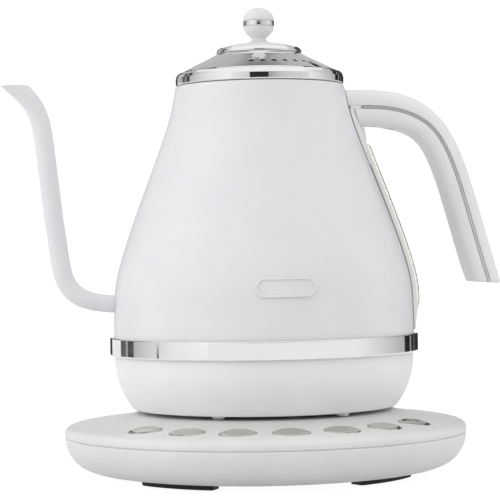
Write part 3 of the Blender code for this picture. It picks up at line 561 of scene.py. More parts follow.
def dark_plastic():
    m = Mat("dark_plastic", (0.035, 0.035, 0.037), 0.45, 0.0, Specular_IOR_Level=0.4)
    m.color(m.mix(m.ramp(m.noise(120.0, 4.0), 0.3, 0.7), (0.028, 0.028, 0.030), (0.052, 0.052, 0.055)))
    m.rough(m.ramp(m.noise(500.0, 4.0, 0.7), 0.3, 0.7, 0.36, 0.56))
    m.bump(m.noise(1800.0, 3.0, 0.6), 0.18, 0.03)
    return m.done()


def circuit_board():
    """Solder resist over copper tracks, with tinned pads."""
    m = Mat("circuit_board", (0.03, 0.16, 0.07), 0.35, 0.0, Coat_Weight=0.3)
    tracks = m.new("ShaderNodeTexBrick")
    tracks.inputs["Scale"].default_value = 160.0
    tracks.inputs["Mortar Size"].default_value = 0.035
    tracks.inputs["Color1"].default_value = (0, 0, 0, 1)
    tracks.inputs["Color2"].default_value = (0, 0, 0, 1)
    tracks.inputs["Mortar"].default_value = (1, 1, 1, 1)
    m.link(m.co, tracks.inputs["Vector"])
    pads = m.ramp(m.voronoi(420.0).outputs["Distance"], 0.16, 0.12)
    green = m.mix(tracks.outputs["Color"], (0.022, 0.13, 0.055), (0.05, 0.24, 0.10))
    m.color(m.mix(pads, green, (0.62, 0.60, 0.56)))
    m.rough(m.ramp(m.noise(700.0, 3.0), 0.3, 0.7, 0.28, 0.45))
    m.bump(tracks.outputs["Color"], 0.3, 0.05)
    return m.done()


def brass():
    m = Mat("brass", (0.75, 0.56, 0.24), 0.3, 1.0)
    m.color(m.mix(m.ramp(m.noise(180.0, 4.0), 0.3, 0.7), (0.70, 0.50, 0.20), (0.80, 0.62, 0.30)))
    m.rough(m.ramp(m.noise(900.0, 4.0), 0.3, 0.7, 0.22, 0.42))
    m.bump(m.noise(1600.0, 3.0), 0.08, 0.02)
    return m.done()


def silicone():
    m = Mat("silicone", (0.74, 0.74, 0.71), 0.5, 0.0, Subsurface_Weight=0.3,
            Subsurface_Radius=(0.004, 0.004, 0.003), Subsurface_Scale=0.6)
    m.color(m.mix(m.ramp(m.noise(90.0, 4.0), 0.3, 0.7), (0.70, 0.70, 0.67), (0.77, 0.77, 0.74)))
    m.rough(m.ramp(m.noise(600.0, 3.0), 0.3, 0.7, 0.42, 0.60))
    m.bump(m.noise(1100.0, 3.0), 0.1, 0.03)
    return m.done()


def ink():
    m = Mat("mark_ink", (0.10, 0.10, 0.11), 0.5, 0.0)
    m.color(m.mix(m.ramp(m.noise(900.0, 3.0), 0.3, 0.7), (0.07, 0.07, 0.08), (0.14, 0.14, 0.15)))
    m.bump(m.noise(2500.0, 2.0), 0.1, 0.01)
    return m.done()


PEARL = pearl_paint()
WHITE = white_plastic()
# a lighter copy of the white plastic: painted light on the handle shells
HANDLE_WHITE_LIT = white_plastic("handle_plastic_lit", (0.775, 0.778, 0.768))
# a lighter copy of the white plastic: painted light on the lower housing, which the lamps leave too dark from below
HOUSING_WHITE_LIT = white_plastic("housing_plastic_lit", (0.80, 0.805, 0.80))
RAIL_WHITE = white_plastic("rail_plastic", (0.80, 0.79, 0.765), 0.7)
CHROME = chrome()
SATIN_TRIM = chrome("satin_trim", (0.60, 0.61, 0.62), (0.16, 0.26))
STEEL = brushed_steel()
STEEL_LINE = brushed_steel("stainless_sheet", False)
RUBBER = rubber("black_rubber", (0.018, 0.018, 0.019))
SILICONE = silicone()
CLEAR = clear_lens()
SILVER = button_metal()
DARK = dark_plastic()
BOARD = circuit_board()
BRASS = brass()
INK = ink()
# the window gasket is painted mid grey, darker than its pale silicone, so that it draws painted shadow lines along the
# frame's edges
SEAL_SHADE_GREY = rubber("seal_painted_shade", (0.30, 0.30, 0.29), 0.6)
# near-black painted shade for the inside of the lid's steam holes
HOLE_SHADE = rubber("hole_painted_shade", (0.03, 0.03, 0.03), 0.6)


# ================================================================== kettle
# Vessel: painted outside and round the shoulder, bare steel inside.
WALL, NECK_R, NECK_TOP = 1.0, 46.6, 231.2
zs_out = spread(71.4, 226.4, 96)
outer = [(body_r(z), z) for z in zs_out]
zs_in = spread(226.0, 71.4, 72)
inner = [(body_r(z) - WALL, z) for z in zs_in]
loop = (outer + [(49.25, 226.95), (48.6, 227.2), (NECK_R + 0.6, 227.25), (NECK_R, 227.6),
                 (NECK_R, NECK_TOP - 0.3), (NECK_R - 0.3, NECK_TOP),
                 (NECK_R - WALL + 0.3, NECK_TOP), (NECK_R - WALL, NECK_TOP - 0.3),
                 (NECK_R - WALL, 226.9)] + inner)
tags = [0] * (len(outer) + 3) + [1] * (len(loop) - len(outer) - 3)
tags[-1] = 0
vessel = make("vessel", bm_turned(loop, 224, tags=tags), [PEARL, STEEL], 40)
hole = make("t1", bm_prism(circle(4.5, 48), 70.0, 100.0, None,
                           Matrix.Translation((0, 0, 100.9 * MM))
                           @ Matrix.Rotation(-math.pi / 2, 4, "Y")), PEARL)
slot_pts = []
for cx, z, a0 in ((0, 97.0 + 3.6, 180), (0, 189.0 - 3.6, 0)):
    for k in range(13):
        a = math.radians(a0 + 180 * k / 12)
        slot_pts.append((3.6 * math.cos(a), z + 3.6 * math.sin(a)))
slot_tool = make("t2", bm_prism(slot_pts, 40.0, 98.0, None,
                                Matrix(((0, 0, 1, 0), (1, 0, 0, 0), (0, 1, 0, 0), (0, 0, 0, 1)))), PEARL)
combine(vessel, [hole, slot_tool], sharp=40)
place(vessel, "kettle", "pearl_paint", "kettle_body")

# Spout: one drawn tube, thin at its level-cut tip, welded to the vessel.
path = even_path(SPOUT, 1.2)
SIDES = 72
rings_o, rings_i = [], []
CUT_Z = 228.2
for i, p in enumerate(path):
    a, b = path[max(i - 1, 0)], path[min(i + 1, len(path) - 1)]
    t = (b - a).normalized()
    nrm = Vector((-t.y, t.x))
    for rings, r in ((rings_o, 5.45), (rings_i, 4.65)):
        if p.x > -112.4:
            r -= 0.35 * min(1.0, (p.x + 112.4) / 12.0)
        rings.append([Vector((p.x + 0.3 + nrm.x * r * math.cos(w), r * math.sin(w),
                              p.y + nrm.y * r * math.cos(w)))
                      for w in (2 * math.pi * k / SIDES for k in range(SIDES))])


def level_cut(rings):
    """Trims the tube at CUT_Z: rings above it slide back along their lines."""
    out = []
    n = len(rings[0])
    first = next(i for i, ring in enumerate(rings) if max(v.z for v in ring) < CUT_Z - 0.3)
    d_ring = []
    for k in range(n):
        hit = None
        for i in range(first, 0, -1):
            a, b = rings[i][k], rings[i - 1][k]
            if b.z >= CUT_Z:
                s = (CUT_Z - a.z) / (b.z - a.z)
                hit = a.lerp(b, s)
                break
        if hit is None:
            a, b = rings[1][k], rings[0][k]
            d = (b - a).normalized()
            hit = b + d * ((CUT_Z - b.z) / d.z)
        d_ring.append(hit)
    out.append(d_ring)
    steps = 14
    for s in range(1, steps):
        f = s / steps
        out.append([d_ring[k].lerp(rings[first][k], f) for k in range(n)])
    # the blend follows each line of the tube, so that the bend stays round
    for s in range(1, steps):
        f = s / steps
        ring = []
        for k in range(n):
            line = [rings[i][k] for i in range(first + 1) if rings[i][k].z < CUT_Z]
            line = [d_ring[k]] + line
            if (line[-1] - rings[first][k]).length > 1e-6:
                line.append(rings[first][k])
            lens = [0.0]
            for a, b in zip(line, line[1:]):
                lens.append(lens[-1] + (b - a).length)
            want = f * lens[-1]
            for j in range(len(line) - 1):
                if want <= lens[j + 1] or j == len(line) - 2:
                    span = lens[j + 1] - lens[j]
                    u = (want - lens[j]) / span if span > 1e-9 else 0.0
                    ring.append(line[j].lerp(line[j + 1], min(max(u, 0.0), 1.0)))
                    break
        out[s] = ring
    return out + rings[first:]


rings_o, rings_i = level_cut(rings_o), level_cut(rings_i)


def to_vessel(ring, sink):
    """The root's end ring, lying on the vessel's curved wall."""
    got = []
    for v in ring:
        r = body_r(v.z) - sink
        got.append(Vector((-math.sqrt(max(r * r - v.y * v.y, 1.0)), v.y, v.z)))
    return got


limit = -(body_r(100.9) + 0.6)
rings_o = [r for r in rings_o if max(v.x for v in r) < limit] + [to_vessel(rings_o[-1], 0.25)]
rings_i = [r for r in rings_i if max(v.x for v in r) < limit] + [to_vessel(rings_i[-1], 0.9)]
# rounded lip at the tip
lip_o, lip_i = rings_o[0], rings_i[0]
lip = []
for f, lift in ((0.0, -0.0), (0.18, 0.16), (0.38, 0.24), (0.62, 0.24), (0.82, 0.16)):
    lip.append([o.lerp(i, f) + Vector((0, 0, lift)) for o, i in zip(lip_o, lip_i)])
lip[0] = [o.copy() for o in lip_o]
rows = rings_o[::-1] + lip[1:] + rings_i
bm = bm_rings([[tuple(v) for v in r] for r in rows], cap=False, closed=True)
spout = make("spout_tube", bm, [PEARL], 55)
place(spout, "kettle", "pearl_paint", "spout")

# Collar round the mouth.
place(make("collar", bm_turned(soften([
    (46.9, 227.6, 0.25), (48.75, 227.6, 0.2), (49.35, 228.15, 0.5), (49.4, 231.6, 1.2),
    (48.9, 233.4, 0.8), (48.1, 234.45, 0.5), (47.5, 234.6, 0.15), (47.25, 234.2, 0.1),
    (47.25, 232.5, 0.15), (44.9, 232.5, 0.3), (44.9, 231.5, 0.3), (46.9, 231.5, 0.1)]), 224),
    [CHROME], 40), "kettle", "chrome", "mouth_collar")

# Belt over the joint of vessel and housing: a straight band with rolled edges.
belt = [(88.2, 70.6, 0.2), (90.4, 70.6, 2.1), (90.4, 81.3, 2.1), (88.2, 81.3, 0.2)]
place(make("belt", bm_turned(soften(belt, steps=6), 256), [CHROME], 40),
      "kettle", "chrome", "belt_ring")

# Lower housing.
zs = spread(71.0, 40.2, 40)
outer = [(housing_r(z), z) for z in zs]
inner = [(housing_r(z) - 2.2, z) for z in spread(45.5, 71.0, 16)]
loop = (outer + [(77.3, 39.55), (76.8, 39.25), (75.1, 39.25), (74.6, 39.6), (74.6, 41.2),
                 (67.0, 41.4), (67.0, 43.8), (76.5, 43.8)] + inner)
housing = make("housing", bm_turned(loop, 224), [HOUSING_WHITE_LIT], 40)
bm = bmesh.new()
for a in (0, 120, 240):
    bm_prism(circle(1.7, 16, *polar(70.5, a)), 39.8, 45.0, bm)
combine(housing, [make("t3", bm, WHITE)], sharp=40)
place(housing, "kettle", "white_plastic", "lower_housing")

# Bottom cover with its moulded feet, counterbores and a stiffening rib.
cover_loop = soften([(21.5, 38.9, 0.3), (26.0, 38.9, 0.2), (26.6, 39.5, 0.2), (31.4, 39.5, 0.2),
                     (32.0, 38.9, 0.2), (60.0, 38.9, 0.2), (60.5, 39.35, 0.2), (62.5, 39.35, 0.2),
                     (63.0, 38.9, 0.2), (74.2, 38.9, 0.4), (74.2, 40.9, 0.3), (21.5, 40.9, 0.3)])
under = make("under_cover", bm_turned(cover_loop, 160), [WHITE], 35)
bm = bmesh.new()
for a in (-120, -60, 60, 120):
    x, y = polar(70.0, a)
    nub = soften([(0.0, 37.1), (2.9, 37.1, 0.7), (3.7, 38.2, 0.6), (3.9, 39.6), (0.0, 39.6)])
    part = bm_turned(nub, 28)
    me = bpy.data.meshes.new("tmp")
    bmesh.ops.translate(part, verts=part.verts, vec=(x * MM, y * MM, 0))
    part.to_mesh(me)
    part.free()
    bm.from_mesh(me)
    bpy.data.meshes.remove(me)
combine(under, [make("t4", bm, WHITE)], "UNION", 35)
bm = bmesh.new()
for a in (0, 120, 240):
    bm_prism(circle(3.1, 28, *polar(70.5, a)), 37.5, 40.2, bm)
bm2 = bmesh.new()
for a in (0, 120, 240):
    bm_prism(circle(1.7, 20, *polar(70.5, a)), 39.8, 45.0, bm2)
combine(under, [make("t5", bm, WHITE), make("t6", bm2, WHITE)], sharp=35)
place(under, "kettle", "white_plastic", "kettle_bottom_cover")


def screw_mesh(loop, z_head, recess, up=-1, n=40):
    """A plain turned screw with a rounded head."""
    ob = make("tmp_screw", bm_turned(soften(loop), n), [STEEL_LINE], 35)
    me = ob.data
    bpy.data.objects.remove(ob, do_unlink=True)
    return me


def put_screw(me, name, x, y, body, node):
    ob = bpy.data.objects.new(name, me.copy())
    bpy.context.scene.collection.objects.link(ob)
    ob.location = ((AXIS_X + x) * MM, y * MM, 0)
    place(ob, body, "stainless", node)


me = screw_mesh([(0.0, 38.95), (2.1, 38.95, 0.2), (2.7, 39.4, 0.2), (2.7, 39.9, 0.1), (1.4, 39.95),
                 (1.4, 47.0, 0.2), (0.0, 47.8)], 38.95, (0.28, 1.4, 0.55))
for k, a in enumerate((0, 120, 240)):
    put_screw(me, "housing_fixing_%d" % (k + 1), *polar(70.5, a), "kettle", "housing_screw_%d" % (k + 1))
me = screw_mesh([(0.0, 203.2), (2.2, 203.2, 0.2), (2.8, 203.7, 0.2), (2.8, 204.1, 0.1), (1.4, 204.25),
                 (1.4, 218.6, 0.2), (0.0, 219.4)], 203.2, (0.28, 1.5, 0.55))
for k, x in enumerate((65.5, 77.0)):
    put_screw(me, "handle_fixing_%d" % (k + 1), x, 0.0, "kettle", "handle_screw_%d" % (k + 1))

# Heater plate and probe, seen through the open mouth.
plate = soften([(0.0, 74.0), (86.3, 74.0, 0.2), (86.3, 75.2, 0.3), (64.0, 75.2, 1.0),
                (62.0, 76.0, 1.0), (54.0, 76.0, 1.0), (52.0, 75.2, 1.0), (30.0, 75.15, 0.5),
                (29.0, 75.4, 0.5), (28.0, 75.15, 0.5), (0.0, 75.2)])
plate = make("floor_plate", bm_turned(plate, 160), [STEEL], 35)
combine(plate, [make("t7", bm_prism(circle(3.0, 32, -20.0, 22.0), 70.0, 80.0), STEEL)], sharp=35)
place(plate, "kettle", "stainless", "heater_plate")
probe = bm_turned(soften([(0.0, 62.0), (2.0, 62.0, 0.2), (2.0, 68.0), (4.6, 68.0, 0.3),
                          (4.6, 73.7, 0.2), (2.6, 73.7), (2.6, 86.0, 1.2), (1.6, 87.8, 1.0),
                          (0.0, 88.0)]), 40)
bmesh.ops.translate(probe, verts=probe.verts, vec=(-20 * MM, 22 * MM, 0))
place(make("probe", probe, [STEEL], 35), "kettle", "stainless", "temperature_probe")

# Badge: a pill with a raised rim and a plain sunk field.
BADGE_Z, BW, BH = 110.2, 17.0, 5.4


def on_front(u, v, lift):
    """A point at (u across, v up) on the vessel's front, lifted off it."""
    z = BADGE_Z + v
    r = body_r(z) + lift
    return (u, -math.sqrt(r * r - u * u), z)


def pill(half_w, half_h, n=24):
    pts = []
    c = half_w - half_h
    for sx, a0 in ((1, -90), (-1, 90)):
        for k in range(n + 1):
            a = math.radians(a0 + 180 * k / n)
            pts.append((sx * c + half_h * math.cos(a), half_h * math.sin(a)))
        # points along the straight edges keep the curve of the vessel
        x0, y0 = pts[-1]
        x1 = -x0
        for k in range(1, 12):
            pts.append((x0 + (x1 - x0) * k / 12, y0))
    return pts


def shrink_pill(d):
    return pill(BW - d, BH - d)


badge_rows = [(0.0, 0.05), (0.0, 1.0), (0.14, 1.36), (0.38, 1.5), (0.80, 1.5), (1.04, 1.36),
              (1.16, 0.95), (1.24, 0.62), (1.4, 0.55), (2.4, 0.55), (3.6, 0.55), (4.6, 0.55)]
bm = bmesh.new()
rows = []
for d, lift in badge_rows:
    rows.append([bm.verts.new([c * MM for c in on_front(u, v, lift)]) for u, v in shrink_pill(d)])
n = len(rows[0])
for a, b in zip(rows, rows[1:]):
    for k in range(n):
        bm.faces.new((a[k], a[(k + 1) % n], b[(k + 1) % n], b[k]))


def across(loop):
    """Fill a pill from its upper edge to its lower one, so that it keeps the vessel's curve."""
    m = len(loop)
    mid = max(range(m), key=lambda i: shrink_pill(badge_rows[-1][0])[i][0])
    for k in range(m // 2):
        face = []
        for i in (mid + k, mid + k + 1, mid - k - 1, mid - k):
            if loop[i % m] not in face:
                face.append(loop[i % m])
        bm.faces.new(face)


across(rows[-1])
bm.faces.new(rows[0][::-1])
place(make("badge", bm, [PEARL], 40), "kettle", "white_plastic", "badge_plate")


# Water window: pale plastic frame, gasket under it, and the clear moulding.
def rail_point(y, z, lift):
    r = body_r(z) + lift
    return Vector((math.sqrt(r * r - y * y), y, z))


def rail_normal(z):
    s = (body_r(z + 0.5) - body_r(z - 0.5))
    return Vector((1.0, 0.0, -s)).normalized()


def frame_lift(z):
    t = min(max((z - 82.0) / 18.0, 0.0), 1.0)
    return 1.9 + (3.7 - 1.9) * math.sin(t * math.pi / 2)


def lens_lift(z):
    t = min(max((z - 90.0) / 12.0, 0.0), 1.0)
    return 2.6 + (6.3 - 2.6) * math.sin(t * math.pi / 2)


def ring_path(half, z0, z1, corner, step=1.5):
    """A rounded rectangle in (y, z), as even points, anticlockwise."""
    pts = []
    for cy, cz, a0 in ((half - corner, z1 - corner, 0), (-(half - corner), z1 - corner, 90),
                       (-(half - corner), z0 + corner, 180), (half - corner, z0 + corner, 270)):
        for k in range(9):
            a = math.radians(a0 + 90 * k / 8)
            pts.append((cy + corner * math.cos(a), cz + corner * math.sin(a)))
    out = []
    for i, p in enumerate(pts):
        q = pts[(i + 1) % len(pts)]
        d = math.hypot(q[0] - p[0], q[1] - p[1])
        m = max(1, int(d / step))
        out += [(p[0] + (q[0] - p[0]) * k / m, p[1] + (q[1] - p[1]) * k / m) for k in range(m)]
    return out


def swept_frame(half_in, half_out, z0, z1, low, high, corner, bm=None):
    """A frame of rounded section that follows the vessel's wall."""
    mid = (half_in + half_out) / 2
    hw = (half_out - half_in) / 2
    path = ring_path(mid, z0 + hw, z1 - hw, corner)
    n = len(path)
    rings = []
    for i, (y, z) in enumerate(path):
        a, b = path[i - 1], path[(i + 1) % n]
        t = Vector((b[0] - a[0], b[1] - a[1])).normalized()
        out = Vector((t.y, -t.x))
        lo, hi = low(z), high(z)
        f = min(0.45, (hi - lo) * 0.4)
        sec = soften([(-hw, lo), (hw, lo), (hw, hi, f), (-hw, hi, f)], support=False)
        ring = []
        for s, lift in sec:
            zz = z + out.y * s
            ring.append(tuple(rail_point(y + out.x * s, zz, lift)))
        rings.append(ring)
    return bm_rings(rings, bm, closed=True)


bm = swept_frame(5.8, 8.0, 82.0, 212.4, lambda z: 1.3, frame_lift, 2.6)
# the plate that closes the frame above the clear part
us = spread(-5.85, 5.85, 8)
zz = spread(192.9, 210.6, 20)
rows = []
for z in zz:
    ring = [tuple(rail_point(u, z, frame_lift(z) - 0.35)) for u in us]
    ring += [tuple(rail_point(u, z, 1.35)) for u in us[::-1]]
    rows.append(ring)
bm_rings(rows, bm)
# the broad head that fills the notch in the handle's root
rows = []
for k in range(31):
    z = 176.0 + (213.5 - 176.0) * k / 30
    u = min(max((z - 177.0) / 13.0, 0.0), 1.0)
    half = 7.2 + 5.0 * u * u * (3 - 2 * u)
    hi = 3.02 - (0.25 if k in (0, 30) else 0.0)
    sec = soften([(-half, 0.5), (half, 0.5), (half, hi, 0.3), (-half, hi, 0.3)], support=False)
    rows.append([tuple(rail_point(y, z, lift)) for y, lift in sec])
bm_rings(rows, bm)
place(make("rail_frame", bm, [RAIL_WHITE], 38), "kettle", "white_plastic", "window_frame")
# the gasket stands a little wider than the frame; its grey is painted shadow along the frame's edges
bm = swept_frame(5.8, 8.15, 81.9, 212.5, lambda z: 0.1, lambda z: 1.15, 2.6)
place(make("rail_gasket", bm, [SEAL_SHADE_GREY], 38), "kettle", "silicone", "window_gasket")

lens_z0, lens_z1 = 90.0, 192.4
rows = []
for z in [lens_z0 + (lens_z1 - lens_z0) * k / 90 for k in range(91)]:
    end = min(1.0, (z - lens_z0) / 1.2, (lens_z1 - z) / 1.2)
    end = math.sqrt(max(0.0, 1 - (1 - max(end, 0.0)) ** 2)) * 0.18 + 0.82
    hi = lens_lift(z) * end
    sec = []
    for k in range(17):
        a = math.pi * k / 16
        y = -5.5 * math.cos(a)
        dome = math.sin(a) ** 0.35 if 0 < a < math.pi else 0.0
        sec.append((y, 2.2 + (hi - 2.2) * dome))
    ring = [tuple(rail_point(y, z, lift)) for y, lift in sec]
    ring += [tuple(rail_point(y, z, 0.3)) for y in (5.5, 2.75, 0, -2.75, -5.5)]
    rows.append(ring)
bm = bm_rings(rows)
lens = make("lens", bm, [CLEAR, INK], 40)
place(lens, "kettle", "clear_plastic", "water_window")
# level marks: short printed bars that wrap over the clear moulding
bm = bmesh.new()
for k, z in enumerate((160.0, 146.7, 133.4, 120.1, 106.8)):
    half = 5.0 if k in (0, 4) else 3.6
    w = 0.55
    ys = spread(-half, half, 12)

    def lift_at(y, zz):
        a = math.acos(max(-1, min(1, -y / 5.5)))
        return 2.2 + (lens_lift(zz) - 2.2) * math.sin(a) ** 0.35

    ring_rows = []
    for y in ys:
        ring_rows.append([tuple(rail_point(y, z - w, lift_at(y, z) - 0.1)),
                          tuple(rail_point(y, z - w, lift_at(y, z) + 0.06)),
                          tuple(rail_point(y, z + w, lift_at(y, z) + 0.06)),
                          tuple(rail_point(y, z + w, lift_at(y, z) - 0.1))])
    bm_rings(ring_rows, bm)
place(make("level_marks", bm, [INK], 40), "kettle", "clear_plastic")

# Handle: two moulded shells that meet in a groove, with a bright strip let
# into it on each side, and a rounded free end.
T, W = 10.5, 12.5
OUTWARD = 0.6  # the groove lies this far outside the handle's middle
h_path = even_path(HANDLE, 1.5)


def handle_t(x, side):
    """Half thickness along the handle: full at the root, slimmer below."""
    u = min(max((x - 78.0) / 32.0, 0.0), 1.0)
    u = u * u * (3 - 2 * u)
    return T - 1.9 * u - side * OUTWARD * u
h_frames = []
for i, p in enumerate(h_path):
    a, b = h_path[max(i - 1, 0)], h_path[min(i + 1, len(h_path) - 1)]
    t = (b - a).normalized()
    h_frames.append([p, Vector((-t.y, t.x)), t])
end_p = h_frames[-1][0]
# the free end turns to its level cut over the last stretch
for k in range(1, 15):
    f = (14 - k) / 14
    p, nrm, t = h_frames[-k]
    blend = f * f * (3 - 2 * f)
    level = Vector((1.0, -0.075))
    h_frames[-k] = [p, nrm.lerp(level * 1.03, blend), t]
for f in h_frames:
    u = min(max((f[0].x - 78.0) / 32.0, 0.0), 1.0)
    f[0] = f[0] + f[1] * OUTWARD * u * u * (3 - 2 * u)
end_p = h_frames[-1][0]


def handle_section(side, t_half, w_half):
    """One shell's section: outer skin, then back along its inner face."""
    lo, hi, rebate, cr, wall = 0.15, 0.98, 1.25, 6.5, 2.3
    pts = [(lo, w_half - rebate), (hi - 0.12, w_half - rebate), (hi, w_half - rebate + 0.12),
           (hi, w_half - 0.28), (hi + 0.08, w_half - 0.1), (hi + 0.28, w_half)]
    arc = [math.radians(d) for d in range(0, 91, 6)]
    # a slightly crowned flank between the groove and the corner
    pts += [(t_half - cr + cr * math.sin(a), w_half - cr + cr * math.cos(a)) for a in arc]
    flat = spread(w_half - cr, -(w_half - cr), 6)[1:-1]
    pts += [(t_half + 0.18 * (1 - (y / (w_half - cr)) ** 2), y) for y in flat]
    pts += [(t_half - cr + cr * math.sin(a), -(w_half - cr + cr * math.cos(a))) for a in arc[::-1]]
    pts += [(hi + 0.28, -w_half), (hi + 0.08, -(w_half - 0.1)), (hi, -(w_half - 0.28)),
            (hi, -(w_half - rebate + 0.12)), (hi - 0.12, -(w_half - rebate)), (lo, -(w_half - rebate))]
    ir = cr - wall
    pts += [(lo, -(w_half - wall - 0.4))]
    pts += [(t_half - cr + ir * math.sin(a), -(w_half - cr + (ir - 0.4) * math.cos(a))) for a in arc[::3]]
    pts += [(t_half - cr + ir * math.sin(a), w_half - cr + (ir - 0.4) * math.cos(a)) for a in arc[::-3]]
    pts += [(lo, w_half - wall - 0.4)]
    return [(side * a, b) for a, b in pts]


def handle_rings(section_of, frames):
    rings = []
    for i, (p, nrm, _) in enumerate(frames):
        rings.append([(p.x + nrm.x * a, y, p.y + nrm.y * a) for a, y in section_of(i)])
    return rings


def shell_rings(side):
    n_all = len(h_frames)
    rings = handle_rings(lambda i: handle_section(side, handle_t(h_frames[i][0].x, side), W), h_frames)
    # rounded rim at the free end: extra rings that turn inward
    p, nrm, t = h_frames[-1]
    down = Vector((-0.0, -1.0))
    for inset, drop_ in ((0.12, 0.45), (0.4, 0.8), (0.85, 1.05), (1.5, 1.15)):
        sec = handle_section(side, handle_t(120.0, side) - inset, W - inset)
        rings.append([(p.x + down.x * drop_ + nrm.x * a, y, p.y + down.y * drop_ + nrm.y * a)
                      for a, y in sec])
    return rings


# keep the end above its level: the last rings stand 1.15 mm higher
shift = 1.15
h_frames[-1][0] = end_p + Vector((-0.02, 1.0)) * shift
for k in range(2, 8):
    f = 1 - (k - 1) / 7
    h_frames[-k][0] = h_frames[-k][0] + Vector((-0.02, 1.0)) * shift * f

outer_shell = make("grip_outer", bm_rings(shell_rings(1)), [HANDLE_WHITE_LIT], 42)
inner_shell = make("grip_inner", bm_rings(shell_rings(-1)), [HANDLE_WHITE_LIT], 42)
zc = spread(188.0, 229.0, 24)
root_cut = make("t8", bm_turned([(0.0, 188.0)] + [(body_r(z) + 0.3, z) for z in zc] + [(0.0, 229.0)], 160), WHITE)
combine(outer_shell, [root_cut], sharp=42)
zc = spread(188.0, 213.9, 18)
rail_cut = make("t9", bm_turned([(0.0, 188.0)] + [(body_r(z) + 3.35, z) for z in zc] + [(0.0, 213.9)], 160), WHITE)
# end plug, and the tail that laps over the top of the window
p, nrm, t = h_frames[-1]
plug_sec = [(-7.6, -5.6), (-7.6, 5.6), (-3.6, 10.0), (4.9, 10.0), (6.3, 5.6), (6.3, -5.6),
            (4.9, -10.0), (-3.6, -10.0)]
rings = []
for d, s in ((1.3, 1.0), (-0.55, 1.0), (-0.75, 0.97)):
    rings.append([(p.x + nrm.x * a * s, y * s, p.y + nrm.y * a * s + d) for a, y in plug_sec])
plug = make("t10", bm_rings(rings), HANDLE_WHITE_LIT)
rows = []
for k in range(25):
    z = 193.2 + (206.5 - 193.2) * k / 24
    grow = min(1.0, 0.30 + 0.70 * math.sin(min(1.0, k / 14) * math.pi / 2))
    hi = 3.6 + 2.0 * grow + (0.9 * (k / 24) ** 2)
    half = 4.4 + 1.6 * grow
    sec = soften([(-half, 3.5), (half, 3.5), (half, hi, 0.8), (-half, hi, 0.8)], support=False)
    rows.append([tuple(rail_point(y, z, lift)) for y, lift in sec])
tail = make("t11", bm_rings(rows), HANDLE_WHITE_LIT)
combine(inner_shell, [rail_cut], sharp=42)
combine(inner_shell, [plug, tail], "UNION", sharp=42)
bm = bmesh.new()
for x in (65.5, 77.0):
    bm_prism(circle(3.2, 28, x, 0), 190.0, 204.4, bm)
bm2 = bmesh.new()
for x in (65.5, 77.0):
    bm_prism(circle(1.8, 20, x, 0), 190.0, 222.0, bm2)
combine(inner_shell, [make("t12", bm, WHITE), make("t13", bm2, WHITE)], sharp=42)
place(outer_shell, "kettle", "white_plastic", "handle_outer_shell")
place(inner_shell, "kettle", "white_plastic", "handle_inner_shell")

start = next(i for i, f in enumerate(h_frames) if f[0].x > 58.7)
root = next(i for i, f in enumerate(h_frames) if f[0].x > 51.0)
for sign in (-1, 1):
    sec = [(-1.02, W - 1.3), (0.9, W - 1.3), (0.9, W - 0.02), (-1.02, W - 0.02)]
    rings = [[(p.x + nrm.x * a, sign * b, p.y + nrm.y * a) for a, b in sec]
             for p, nrm, t in h_frames[root:start]]
    combine(inner_shell, [make("t22", bm_rings(rings), HANDLE_WHITE_LIT)], "UNION", sharp=42)
for sign, name, node in ((-1, "trim_front", "handle_trim_front"), (1, "trim_rear", "handle_trim_rear")):
    sec = soften([(-0.74, W - 1.15), (0.74, W - 1.15), (0.74, W + 0.0, 0.22), (-0.74, W + 0.0, 0.22)], steps=4)
    rings = []
    for p, nrm, t in h_frames[start:]:
        rings.append([(p.x + nrm.x * a, sign * b, p.y + nrm.y * a) for a, b in sec])
    p, nrm, t = h_frames[-1]
    rings.append([(p.x + nrm.x * a, sign * (b - 0.3), p.y + nrm.y * a - 0.9) for a, b in sec])
    place(make(name, bm_rings(rings), [SATIN_TRIM], 40), "kettle", "chrome", node)


# ===================================================================== lid
cone = soften([(46.1, 232.9, 0.1), (46.9, 232.9, 0.1), (46.95, 234.0, 0.35), (45.6, 235.35, 1.2),
               (38.1, 239.2, 8.0), (31.0, 242.6, 6.0), (28.2, 244.05, 3.0), (26.3, 245.1, 1.5),
               (25.1, 246.0, 0.3), (5.1, 246.0, 0.1), (5.1, 245.2, 0.1), (24.6, 245.2, 0.3), (25.8, 244.3, 0.3),
               (37.7, 238.3, 0.5), (44.2, 235.0, 0.5), (46.1, 233.8, 0.2)], steps=6)
lid = make("lid_shell", bm_turned(cone, 256), [CHROME, HOLE_SHADE], 40)
# steam holes: the bore wall of each cutter carries the painted shade, the chamfers stay chrome
bm = bmesh.new()
for k in range(16):
    a = math.radians(-15.2 + 10.0 * k)
    m = (Matrix.Rotation(a, 4, "Z") @ Matrix.Translation((0, -37.8 * MM, 239.3 * MM))
         @ Matrix.Rotation(math.radians(26.8), 4, "X"))
    bm_stack([(1.62, -3.2), (1.62, -0.2), (2.45, 0.9), (2.45, 2.5)], 32, bm, m, 1)
combine(lid, [make("t14", bm, [CHROME, HOLE_SHADE])], sharp=40)
place(lid, "lid", "chrome", "lid_cone")

rim = soften([(22.95, 246.3, 0.2), (25.0, 246.3, 0.25), (24.95, 247.3, 0.6), (24.6, 248.4, 0.8),
              (23.9, 249.2, 0.5), (22.95, 249.3, 0.2)], steps=5)
place(make("lid_band", bm_turned(rim, 192), [CHROME], 40), "lid", "chrome", "lid_rim")

